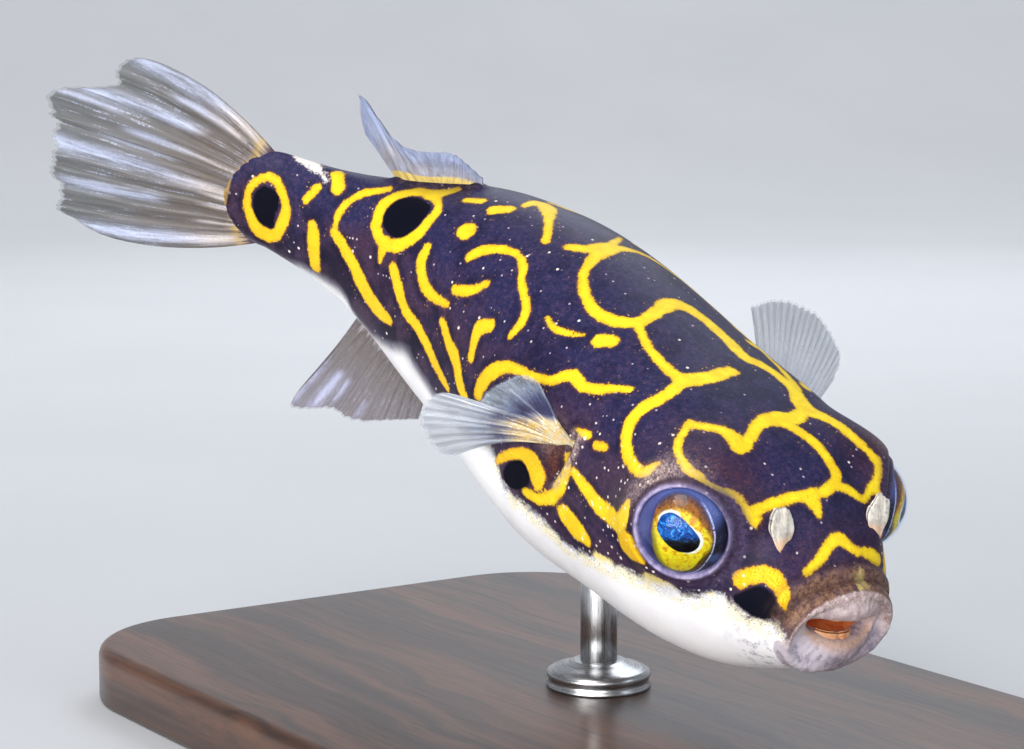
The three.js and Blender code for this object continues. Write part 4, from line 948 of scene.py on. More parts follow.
    col = k.mix(k.step(k.attr("m_inside"), 0.15, 0.85), col, flesh)
    # lids: smooth lavender ring round each eye
    lidc = k.mix(k.step(k.noise(2.0, 2, shift=(1, 1, 8)), 0.4, 0.62), lin(140, 130, 170), lin(180, 168, 202))
    # painted shade round the front of each lid
    col = k.mix(k.mul(k.attr("m_orbit"), 0.9), col, k.mix(k.step(mott, 0.4, 0.6), lin(50, 42, 66), lin(76, 66, 96)))
    col = k.mix(k.math("MULTIPLY", k.attr("m_lid"), 0.95, clamp=True), col, lidc)
    # painted shadow on the back beneath the dorsal fin's root
    col = k.mix(k.mul(k.attr("m_dorsal_root_shadow"), 0.80), col, k.mix(k.step(mott, 0.40, 0.60), lin(26, 18, 22), lin(64, 50, 50)))
    cuff = k.mul(k.attr("m_cuff"), k.step(mott, 0.25, 0.50))
    col = k.mix(k.mul(cuff, 0.75), col, lin(178, 146, 82))
    # soot in the creases
    # painted shade in the creases: lip grooves, gill slit and the grooves round the eyes
    col = k.mix(k.mul(k.attr("m_shade"), k.add(0.60, k.mul(k.step(k.noise(4.0, 3, 0.6, shift=(8, 8, 3)), 0.35, 0.6), 0.30))), col, lin(44, 28, 28))
    k.set(Base_Color=col)
    rough = k.add(0.40, k.mul(n1, 0.10), k.mul(k.math("SUBTRACT", n3, 0.5), 0.12), k.mul(k.attr("m_lips"), 0.10), k.mul(on, 0.05), k.mul(k.step(spot_at, 0.10, -0.12), 0.30))
    k.set(Roughness=rough)
    pores = k.cells(2.6, feature="F1", at=k.vec("ADD", k.P, (2.2, 0.4, 5.0)))
    height = k.add(k.mul(k.step(pores, 0.30, 0.0), 0.45), k.mul(k.noise(3.2, 4, 0.6, shift=(2, 3, 1)), 0.6), k.mul(k.noise(12.0, 2, 0.6), 0.25), k.mul(on, 0.12), k.mul(salt, 0.5))
    k.bump(height, 0.022, 0.55)
    return k.m


def eye_material():
    """Painted ball: slate surround, gold iris and a black pupil with a painted blue reflection."""
    k = Mat("puffer_iris", Specular_IOR_Level=0.22)
    x, y = k.attr("e_front"), k.attr("e_up")
    at = k.join(x, y, 0.0)
    side = k.attr("e_side")
    at3 = k.vec("ADD", at, k.join(k.mul(side, 3.1), 0.0, 0.0))
    away = k.math("SUBTRACT", y, IRIS_Y)
    ang = k.math("ARCTAN2", away, k.math("SUBTRACT", x, IRIS_X))
    r = k.vec("LENGTH", k.vec("SUBTRACT", at, (IRIS_X, IRIS_Y, 0)))
    streak = k.noise(1.0, 3, 0.6, at=k.join(k.mul(k.math("COSINE", ang), 9.0), k.mul(k.math("SINE", ang), 9.0), k.add(k.mul(r, 1.2), side)))
    grain = k.noise(4.5, 3, 0.65, at=at3)
    fleck = k.noise(9.0, 2, 0.6, at=at3)
    out = k.add(k.attr("e_iris"), k.mul(k.math("SUBTRACT", grain, 0.5), 0.06))
    pupil = k.add(k.attr("e_pupil"), k.mul(k.math("SUBTRACT", grain, 0.5), 0.05))
    # slate ring outside the iris: painted shadow darkens its front, blue above, olive over the top
    slate = k.mix(k.step(k.noise(1.3, 3, at=at3), 0.35, 0.65), lin(46, 50, 98), lin(74, 76, 122))
    slate = k.mix(k.mul(k.step(y, 0.9, 1.9), 0.7), slate, lin(100, 110, 160))
    slate = k.mix(k.mul(k.step(x, -1.2, -2.2), 0.6), slate, lin(92, 92, 132))
    # painted shadow: the front of the slate ring darkened
    slate = k.mix(k.step(k.add(x, k.mul(y, -0.30)), 1.0, 1.9), slate, lin(22, 22, 42))
    sheen = k.mul(k.step(k.vec("LENGTH", k.vec("SUBTRACT", at, (2.25, -0.75, 0))), 0.55, 0.1), 0.55)
    slate = k.mix(sheen, slate, lin(98, 118, 168))
    slate = k.mix(k.mul(k.step(fleck, 0.6, 0.72), 0.35), slate, lin(140, 138, 166))
    # iris: gold with orange flecks, brown above and outside, near-white at the front
    gold = k.mix(k.step(grain, 0.36, 0.66), lin(250, 204, 16), lin(255, 240, 44))
    orange = k.math("MULTIPLY", k.step(k.add(k.noise(3.2, 4, 0.7, at=at3), k.mul(k.step(y, 0.0, 1.4), 0.10)), 0.52, 0.62), 0.75, clamp=True)
    gold = k.mix(orange, gold, lin(216, 112, 14))
    gold = k.mix(k.mul(k.step(k.add(x, y), -0.9, -2.0), k.step(out, -0.5, -0.2)), gold, lin(150, 144, 30))
    pearl = k.mix(k.step(fleck, 0.45, 0.7), lin(255, 252, 236), lin(252, 232, 150))
    turn_to = k.step(k.add(k.mul(x, 0.9), k.mul(y, 0.05)), -0.1, 1.25)
    back_top = k.mul(k.step(k.add(k.mul(x, -0.5), k.mul(y, 0.8)), 0.9, 1.5), 0.15)
    width = k.add(-0.09, k.mul(turn_to, 0.26), k.mul(back_top, 1.5))
    inner = k.step(k.math("SUBTRACT", k.add(pupil, k.mul(k.math("SUBTRACT", streak, 0.5), 0.16)), width), 0.05, -0.05)
    iris = k.mix(inner, gold, pearl)
    rim = k.mix(k.step(k.add(k.mul(grain, 0.6), k.mul(streak, 0.4)), 0.38, 0.60), lin(92, 52, 26), lin(178, 104, 34))
    rim = k.mix(k.mul(k.step(fleck, 0.52, 0.66), 0.35), rim, lin(206, 150, 50))
    rim = k.mix(k.mul(k.step(out, -0.42, -0.02), k.step(y, 0.8, 1.6), 0.75), rim, lin(66, 58, 72))
    thick = k.add(0.07, k.mul(k.step(y, 0.3, 1.9), k.add(0.54, k.mul(k.step(x, 0.8, -0.6), 0.14))), k.mul(k.step(x, -0.8, -1.5), 0.08))
    rim_at = k.add(out, thick, k.mul(k.math("SUBTRACT", streak, 0.5), 0.22))
    iris = k.mix(k.step(rim_at, -0.12, 0.16), iris, rim)
    low = k.mul(k.step(k.math("SUBTRACT", k.mul(x, 0.80), k.mul(y, 0.60)), 1.35, 1.75), k.step(out, -0.34, -0.24))
    iris = k.mix(k.mul(low, 0.9), iris, lin(58, 32, 14))
    col = k.mix(k.step(out, -0.03, 0.04), iris, slate)
    ring = k.mul(k.step(k.math("ABSOLUTE", k.math("SUBTRACT", out, 0.06)), 0.09, 0.02), k.step(x, 0.9, 0.2))
    col = k.mix(k.mul(ring, 0.45), col, lin(44, 36, 52))
    # painted highlight: a thin white line along the front of the iris edge
    thin = k.mul(k.step(k.math("ABSOLUTE", k.math("SUBTRACT", out, 0.09)), 0.06, 0.015), k.step(x, 0.3, 1.3), k.step(fleck, 0.35, 0.5))
    col = k.mix(k.mul(thin, 0.85), col, lin(236, 230, 236))
    # pupil: black, under a painted reflection of mottled cyan-blue at its upper rear, and plain black at its lower
    # front
    along = k.add(k.mul(x, -0.34), k.mul(y, 0.94), -0.10)
    marble = k.noise(4.2, 5, 0.75, at=at3, distort=1.2)
    pupil_reflection = k.mix(k.step(marble, 0.40, 0.62), lin(2, 34, 96), lin(12, 118, 204))
    pupil_reflection = k.mix(k.mul(k.step(marble, 0.56, 0.66), 0.9), pupil_reflection, lin(120, 220, 252))
    pupil_reflection = k.mix(k.mul(k.step(x, 0.2, 1.0), 0.6), pupil_reflection, lin(2, 52, 120))
    deep = k.step(k.add(along, k.mul(k.math("SUBTRACT", marble, 0.5), 0.6)), 0.20, -0.16)
    black = k.mix(deep, pupil_reflection, lin(1, 2, 6))
    black = k.mix(k.mul(k.step(pupil, -0.16, -0.02), 0.7, k.inv(deep)), black, lin(6, 60, 120))
    col = k.mix(k.step(pupil, 0.03, -0.03), col, black)
    k.set(Base_Color=col, Roughness=k.add(0.30, k.mul(grain, 0.15)))
    k.bump(k.add(k.mul(streak, 0.6), k.mul(grain, 0.6)), 0.02, 0.5)
    return k.m


def cornea_material():
    m = bpy.data.materials.new("puffer_cornea")
    m.use_nodes = True
    t = m.node_tree
    t.nodes.clear()
    out = t.nodes.new("ShaderNodeOutputMaterial")
    clear = t.nodes.new("ShaderNodeBsdfTransparent")
    wave_n = t.nodes.new("ShaderNodeTexNoise")
    wave_n.inputs["Scale"].default_value = 900.0
    coord = t.nodes.new("ShaderNodeTexCoord")
    t.links.new(coord.outputs["Object"], wave_n.inputs["Vector"])
    tint = t.nodes.new("ShaderNodeMix")
    tint.data_type = "RGBA"
    tint.inputs[6].default_value, tint.inputs[7].default_value = lin(250, 252, 255), lin(240, 246, 255)
    t.links.new(wave_n.outputs["Fac"], tint.inputs[0])
    t.links.new(tint.outputs[2], clear.inputs["Color"])
    gloss = t.nodes.new("ShaderNodeBsdfGlossy")
    gloss.inputs["Roughness"].default_value = 0.03
    gloss.inputs["Color"].default_value = lin(250, 252, 255)
    slant = t.nodes.new("ShaderNodeLayerWeight")
    slant.inputs["Blend"].default_value = 0.5
    steep = t.nodes.new("ShaderNodeMath")
    steep.operation = "POWER"
    steep.inputs[1].default_value = 4.0
    t.links.new(slant.outputs["Facing"], steep.inputs[0])
    share = t.nodes.new("ShaderNodeMath")
    share.operation = "MULTIPLY_ADD"
    share.inputs[1].default_value, share.inputs[2].default_value = 0.20, 0.006
    t.links.new(steep.outputs[0], share.inputs[0])
    mix = t.nodes.new("ShaderNodeMixShader")
    t.links.new(share.outputs[0], mix.inputs[0])
    t.links.new(clear.outputs[0], mix.inputs[1])
    t.links.new(gloss.outputs[0], mix.inputs[2])
    t.links.new(mix.outputs[0], out.inputs[0])
    return m


def fin_material(name, web_in, web_out, ray_tone, glow_in, glow_out, root_dark, root_pale, hairs=24.0, ray_share=0.35, stripes=1.0, cuff=0.0, glints=0.35, least=0.14, dapple=0.0):
    """Thin membrane between rays, with bright streaks and a striped fleshy root."""
    k = Mat(name, Specular_IOR_Level=0.22)
    u, v, rayf, edge = k.attr("f_u"), k.attr("f_v"), k.attr("f_ray"), k.attr("f_edge")
    band, base, solid = k.attr("f_band"), k.attr("f_root"), k.attr("f_solid")
    fine = k.noise(1.0, 5, 0.7, at=k.join(k.mul(u, hairs), k.mul(v, 2.4), 0.0))
    hair = k.noise(1.0, 3, 0.62, at=k.join(k.mul(u, hairs * 2.8), k.mul(v, 3.6), 4.0))
    cloud = k.noise(0.7, 4, 0.6)
    speck = k.noise(5.5, 3, 0.7)
    col = k.mix(k.step(k.add(v, k.mul(k.math("SUBTRACT", cloud, 0.5), 0.5)), 0.15, 0.85), web_in, web_out)
    col = k.mix(k.mul(k.step(fine, 0.36, 0.66), 0.42), col, ray_tone)
    col = k.mix(k.mul(k.step(hair, 0.50, 0.70), 0.38), col, ray_tone)
    col = k.mix(k.mul(k.step(fine, 0.47, 0.30), k.add(0.16, k.mul(k.step(v, 0.55, 0.1), 0.30))), col, root_dark)
    col = k.mix(k.mul(rayf, ray_share), col, ray_tone)
    clear = k.step(solid, 0.32, 0.06)
    if dapple:
        col = k.mix(k.mul(clear, 0.85), col, k.mix(k.step(v, 0.46, 0.92), lin(74, 104, 160), lin(158, 172, 184)))
    glint = k.mul(k.step(hair, 0.54, 0.66), k.step(speck, 0.42, 0.58), k.step(fine, 0.38, 0.58))
    col = k.mix(k.mul(glint, glints), col, glow_out)
    glow = k.math("MULTIPLY", band, k.add(0.25, k.mul(k.step(fine, 0.34, 0.60), 0.75), k.mul(k.step(speck, 0.5, 0.7), 0.25)), clamp=True)
    col = k.mix(glow, col, k.mix(k.step(v, 0.18, 0.55), glow_in, glow_out))
    stripe = k.noise(1.0, 4, 0.66, at=k.join(k.mul(u, hairs * 1.5), k.mul(v, 1.3), 9.0))
    rooty = k.mix(k.step(k.add(k.mul(stripe, stripes), (1 - stripes) * 0.56), 0.40, 0.60), root_dark, root_pale)
    if dapple:
        rooty = k.mix(k.mul(k.step(k.noise(2.4, 3, 0.65, shift=(4, 4, 1)), 0.46, 0.60), dapple), rooty, lin(206, 166, 58))
        rooty = k.mix(k.mul(k.step(speck, 0.54, 0.66), dapple), rooty, lin(244, 240, 226))
    on_root = k.step(k.add(base, k.mul(k.math("SUBTRACT", stripe, 0.5), 0.2 + 0.7 * stripes)), *((0.20, 0.64) if dapple else (0.30, 0.72)))
    if cuff:
        low = k.add(v, k.mul(k.math("SUBTRACT", cloud, 0.5), 0.06))
        rooty = k.mix(k.mul(k.step(k.math("ABSOLUTE", k.math("SUBTRACT", low, cuff + 0.03)), 0.035, 0.01), 0.7), rooty, lin(206, 170, 70))
        rooty = k.mix(k.step(low, cuff, cuff - 0.05), rooty, k.mix(speck, lin(52, 38, 56), lin(92, 72, 84)))
    col = k.mix(on_root, col, rooty)
    k.set(Base_Color=col, Roughness=k.add(0.36, k.mul(fine, 0.22)))
    share = k.add(0.30, k.mul(k.step(solid, 0.1, 0.55), 0.70))
    a = k.add(solid, k.mul(share, k.add(k.mul(rayf, 0.16), k.mul(k.math("SUBTRACT", fine, 0.5), 0.28), k.mul(k.step(hair, 0.5, 0.75), 0.12))))
    a = k.add(a, k.mul(glow, 0.40), on_root, k.mul(k.math("SUBTRACT", speck, 0.5), 0.10))
    if dapple:
        haze = k.add(0.12, k.mul(k.step(cloud, 0.40, 0.60), 0.20), k.mul(k.step(fine, 0.44, 0.60), 0.12))
        a = k.add(a, k.mul(clear, k.step(v, 0.38, 0.90), haze))
    a = k.mul(a, k.step(edge, 1.0, 0.90))
    k.set(Alpha=k.math("MINIMUM", k.math("MAXIMUM", a, least), 1.0))
    k.bump(k.add(k.mul(rayf, 0.4), k.mul(hair, 0.4)), 0.04, 0.45)
    return k.m


def flap_material():
    k = Mat("puffer_flap", Specular_IOR_Level=0.2)
    h, u = k.attr("f_v"), k.attr("f_u")
    g = k.noise(1.6, 3, 0.6)
    fine = k.noise(6.0, 3, 0.65, shift=(1, 5, 2))
    folds = k.noise(1.0, 3, 0.6, at=k.join(k.mul(u, 4.0), k.mul(h, 1.6), 2.0))
    # painted shade between the flap's folds: lighter and darker bands
    col = k.mix(k.step(folds, 0.36, 0.64), lin(208, 200, 188), lin(234, 229, 218))
    col = k.mix(k.mul(k.step(g, 0.46, 0.62), 0.60), col, lin(168, 160, 154))
    col = k.mix(k.mul(k.step(fine, 0.50, 0.66), 0.45), col, lin(142, 140, 138))
    # painted highlight along the flap's side edges
    edge = k.step(k.math("ABSOLUTE", k.math("SUBTRACT", u, 0.5)), 0.36, 0.48)
    col = k.mix(k.mul(edge, 0.10), col, lin(242, 238, 228))
    low = k.add(h, k.mul(k.math("SUBTRACT", g, 0.5), 0.4), k.mul(u, 0.18))
    col = k.mix(k.mul(k.step(low, 0.58, 0.30), 0.75), col, lin(224, 178, 132))
    col = k.mix(k.step(low, 0.30, 0.10), col, lin(158, 92, 62))
    k.set(Base_Color=col, Roughness=k.add(0.42, k.mul(g, 0.15)))
    k.bump(k.add(k.mul(folds, 0.5), k.mul(fine, 0.4)), 0.04, 0.5)
    return k.m


def tooth_material():
    k = Mat("puffer_beak", Coat_Weight=0.3, Coat_Roughness=0.15)
    g = k.noise(2.6, 3, 0.6)
    col = k.mix(k.step(g, 0.35, 0.65), lin(196, 122, 76), lin(222, 166, 118))
    k.set(Base_Color=k.mix(k.mul(k.step(k.noise(9, 2), 0.55, 0.7), 0.4), col, lin(226, 190, 150)), Roughness=k.add(0.24, k.mul(g, 0.12)))
    k.bump(g, 0.02, 0.6)
    return k.m


def wood_material():
    k = Mat("stand_walnut", Coat_Weight=0.35, Coat_Roughness=0.16)
    p = k.split(k.P)
    warp = k.mul(k.math("SUBTRACT", k.noise(0.05, 3, 0.6), 0.5), 7.0)
    long = k.join(k.mul(p[0], 0.035), k.add(p[1], warp), k.mul(p[2], 0.9))
    rings = k.noise(0.34, 4, 0.62, at=long)
    fibre = k.noise(2.4, 4, 0.7, at=k.join(k.mul(p[0], 0.06), k.mul(p[1], 1.6), k.mul(p[2], 1.6)))
    col = k.mix(k.step(rings, 0.36, 0.64), lin(46, 28, 19), lin(98, 62, 40))
    col = k.mix(k.mul(k.step(fibre, 0.50, 0.68), 0.55), col, lin(32, 19, 13))
    pores = k.step(k.noise(3.2, 2, 0.5, at=k.join(k.mul(p[0], 0.22), k.mul(p[1], 3.2), k.mul(p[2], 3.2))), 0.64, 0.72)
    col = k.mix(k.mul(pores, 0.6), col, lin(20, 12, 9))
    k.set(Base_Color=col, Roughness=k.add(0.33, k.mul(fibre, 0.14)))
    k.bump(k.add(k.mul(fibre, 0.4), k.mul(pores, -0.5)), 0.03, 0.4)
    return k.m


def steel_material(name, along):
    """Brushed steel; the brushing runs round the turned parts."""
    k = Mat(name, Metallic=1.0)
    p = k.split(k.P)
    q = k.join(k.mul(p[0], 0.4), k.mul(p[1], 0.4), k.mul(p[2], 14.0)) if along == "round" else k.join(k.mul(p[0], 9.0), k.mul(p[1], 9.0), k.mul(p[2], 0.4))
    b = k.noise(1.0, 3, 0.7, at=q)
    col = k.mix(k.step(b, 0.3, 0.7), lin(168, 169, 172), lin(206, 207, 208))
    k.set(Base_Color=k.mix(k.mul(k.step(k.noise(0.8, 3), 0.55, 0.75), 0.25), col, lin(140, 140, 144)), Roughness=k.add(0.20, k.mul(b, 0.16)))
    k.bump(b, 0.01, 0.4)
    return k.m


# --------------------------------------------------------------------- pieces
def grid_uv(groups, rows, cols, wrap, box=(0.0, 0.0, 1.0, 1.0)):
    """Corner UVs of grid faces; the wrapped column's far edge is at 1."""
    out = []
    for g in groups:
        r, c = g // cols, (g % cols).astype(float)
        over = g >= rows * cols
        cc = np.where(over, np.nan, c)
        if wrap:
            far = (np.nanmax(cc, 1, keepdims=True) == cols - 1) & (cc == 0) & (np.nanmax(cc, 1, keepdims=True) - np.nanmin(cc, 1, keepdims=True) > 1)
            cc = np.where(far, cols, cc)
        u = cc / (cols if wrap else cols - 1)
        u = np.where(over, np.nanmean(u, 1, keepdims=True), u)
        v = np.where(over, np.where(g == rows * cols, 0.0, 1.0), 0.01 + 0.98 * r / (rows - 1))
        out.append(np.stack([box[0] + u * (box[2] - box[0]), box[1] + v * (box[3] - box[1])], -1).reshape(-1, 2))
    return np.concatenate(out)


def wrapped(name, P, material, fields=None, stands_for=(), in_row=False):
    """A closed piece from rows x columns of points that wrap round, capped at both ends."""
    rows, cols = P.shape[:2]
    pts = np.concatenate([P.reshape(-1, 3), P[:1].mean(1), P[-1:].mean(1)])
    j = np.arange(cols)
    k = (j + 1) % cols
    last = (rows - 1) * cols
    groups = [quads(rows, cols, wrap=True), np.stack([np.full(cols, rows * cols), k, j], 1),
              np.stack([np.full(cols, rows * cols + 1), last + j, last + k], 1)]
    groups = outward(pts, groups)
    full = {}
    for key, v in (fields or {}).items():
        v = np.asarray(v, float).reshape(rows, cols)
        full[key] = np.concatenate([v.ravel(), [v[0].mean(), v[-1].mean()]])
    return piece(name, pts / 1000.0 if in_row else to_row(pts), groups, material, full, grid_uv(groups, rows, cols, True), stands_for)


def leaf(name, surface, thickness, nu, nv, material, fields, stands_for=()):
    """A closed thin piece: both sides of surface(u, v), thickness(u, v) apart, and its rim."""
    U, V = np.meshgrid(np.linspace(0, 1, nu + 1), np.linspace(0, 1, nv + 1), indexing="ij")
    C = surface(U, V)
    n = np.cross(np.gradient(C, axis=0), np.gradient(C, axis=1))
    n /= np.linalg.norm(n, axis=-1, keepdims=True) + 1e-12
    t = thickness(U, V)[..., None] / 2
    rows, cols = nu + 1, nv + 1
    count = rows * cols
    pts = np.concatenate([(C + n * t).reshape(-1, 3), (C - n * t).reshape(-1, 3)])
    face = quads(rows, cols)
    i = np.arange(count).reshape(rows, cols)
    loop = np.concatenate([i[:-1, 0], i[-1, :-1], i[:0:-1, -1], i[0, :0:-1]])
    nxt = np.roll(loop, -1)
    rim = np.stack([loop, nxt, nxt + count, loop + count], 1)
    groups = [face, face[:, ::-1] + count, rim[:, ::-1]]
    v = outward(pts, groups)
    flipped = v[0] is not groups[0]
    uv = []
    for m, g in enumerate(v):
        if m < 2:
            h = g - m * count
            uv.append(np.stack([0.01 + m * 0.5 + 0.48 * (h // cols) / nu, 0.01 + 0.95 * (h % cols) / nv], -1).reshape(-1, 2))
        else:
            k = np.arange(len(loop)) / len(loop)
            k2 = k + 1 / len(loop)
            a = np.stack([k, k2, k2, k], 1)[:, ::-1]
            b = np.stack([k * 0 + 0.975, k * 0 + 0.975, k * 0 + 0.995, k * 0 + 0.995], 1)[:, ::-1]
            if flipped:
                a, b = a[:, ::-1], b[:, ::-1]
            uv.append(np.stack([a, b], -1).reshape(-1, 2))
    full = {key: np.tile(f(U, V).ravel(), 2) for key, f in fields.items()}
    return piece(name, to_row(pts), v, material, full, np.concatenate(uv), stands_for)


def lathe(name, profile, around, material, centre, stands_for=(), fields=None):
    """A turned piece from (radius, height) pairs, standing on the row frame's z."""
    a = 2 * np.pi * np.arange(around) / around
    P = np.array([[(centre[0] + r * math.cos(t), centre[1] + r * math.sin(t), z) for t in a] for r, z in profile])
    return wrapped(name, P, material, fields, stands_for, in_row=True)


# ---- skin
COLS, ROWS = ((300, (44, 110, 88, 66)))


def make_skin():
    P, S, B = body_grid(COLS, *ROWS)
    Q, radii = shape_skin(P, S, B)
    fields = mark_fields(P, S, B, Q, radii)
    return wrapped("skin", Q, skin_material(), fields, ("head", "trunk", "tail", "upper_lip", "lower_lip"))


# ---- eyes
IRIS_X, IRIS_Y, BALL_R = 0.10, 0.0, 2.95
PUPIL = [(-1.279, 0.983), (-0.888, 1.304), (-0.384, 1.335), (0.259, 1.121), (0.848, 0.765), (1.178, 0.429), (1.21, 0.005),
         (0.993, -0.358), (0.589, -0.569), (0.062, -0.615), (-0.549, -0.422), (-1.093, -0.1), (-1.371, 0.25), (-1.376, 0.666)]
IRIS_EDGE = [(-1.735, 0.338), (-1.632, -0.241), (-1.369, -0.923), (-0.98, -1.70), (-0.467, -2.34), (0.18, -2.62), (0.784, -2.48),
             (1.421, -1.829), (1.771, -0.931), (1.901, -0.113), (1.776, 0.688), (1.344, 1.46), (0.78, 2.005), (0.18, 2.28),
             (-0.515, 2.311), (-1.169, 2.072), (-1.64, 1.553), (-1.781, 1.004)]


def make_eye(side, iris, cornea):
    C, look, front, up = eye_frame(side)
    word = "left" if side > 0 else "right"
    around = 160
    a = 2 * np.pi * np.arange(around) / around
    lat = np.concatenate([np.linspace(0.006, 1.12, 72), np.linspace(1.17, math.pi - 0.02, 24)])[:, None]
    rho, h = BALL_R * np.sin(lat), BALL_R * np.cos(lat)
    x, y = rho * np.cos(a), rho * np.sin(a)
    # the pupil stands a little proud, like the lens behind it
    facing = h > 0.6
    d = np.where(facing, ring_distance(x, y, PUPIL), 2.0)
    iris_d = np.where(facing, ring_distance(x, y, IRIS_EDGE), 1.0)
    grow = 1 + (0.05 * smooth(-d / 0.6) + 0.02 * smooth(-iris_d / 0.2)) / BALL_R
    P = C + (x * grow)[..., None] * front + (y * grow)[..., None] * up + (h * grow)[..., None] * look
    fields = {"e_front": x, "e_up": y, "e_side": x * 0 + side, "e_pupil": d, "e_iris": iris_d}
    wrapped("eyeball_" + word, P, iris, fields, ("eye_" + word,))
    out = [(EYE_R * math.sin(t), EYE_R * math.cos(t)) for t in np.linspace(0.006, math.asin(2.70 / EYE_R), 30)]
    k = EYE_R - 0.05
    back = [(k * math.sin(t), k * math.cos(t)) for t in np.linspace(math.asin(2.68 / k), 0.006, 30)]
    prof = np.array(out + back)
    rho, h = prof[:, 0][:, None], prof[:, 1][:, None] + 0 * a
    P = C + (rho * np.cos(a))[..., None] * front + (rho * np.sin(a))[..., None] * up + h[..., None] * look
    wrapped("cornea_" + word, P, cornea)


# ---- fins
def unit(v):
    v = np.asarray(v, float)
    return v / np.linalg.norm(v)


def tangent(s, extra=0.0):
    p = turn(s) - math.radians(extra)
    return np.array([-math.cos(p), -math.sin(p), 0.0])


def leaned(s, deg):
    p, e = turn(s), math.radians(deg)
    return np.array([-math.sin(p) * math.sin(e), math.cos(p) * math.sin(e), math.cos(e)])


def side_dir(deg, side):
    return np.array([-math.cos(math.radians(deg)), side * math.sin(math.radians(deg)), 0.0])


LEFT_OUT = side_dir(75, 1)
LEFT_UP = np.array([-0.5, 0, 0.866])
LEFT_UP = unit(LEFT_UP - (LEFT_UP @ LEFT_OUT) * LEFT_OUT)
UPRIGHT = np.array([0, 0, 1.0])
PEC_S = 0.325
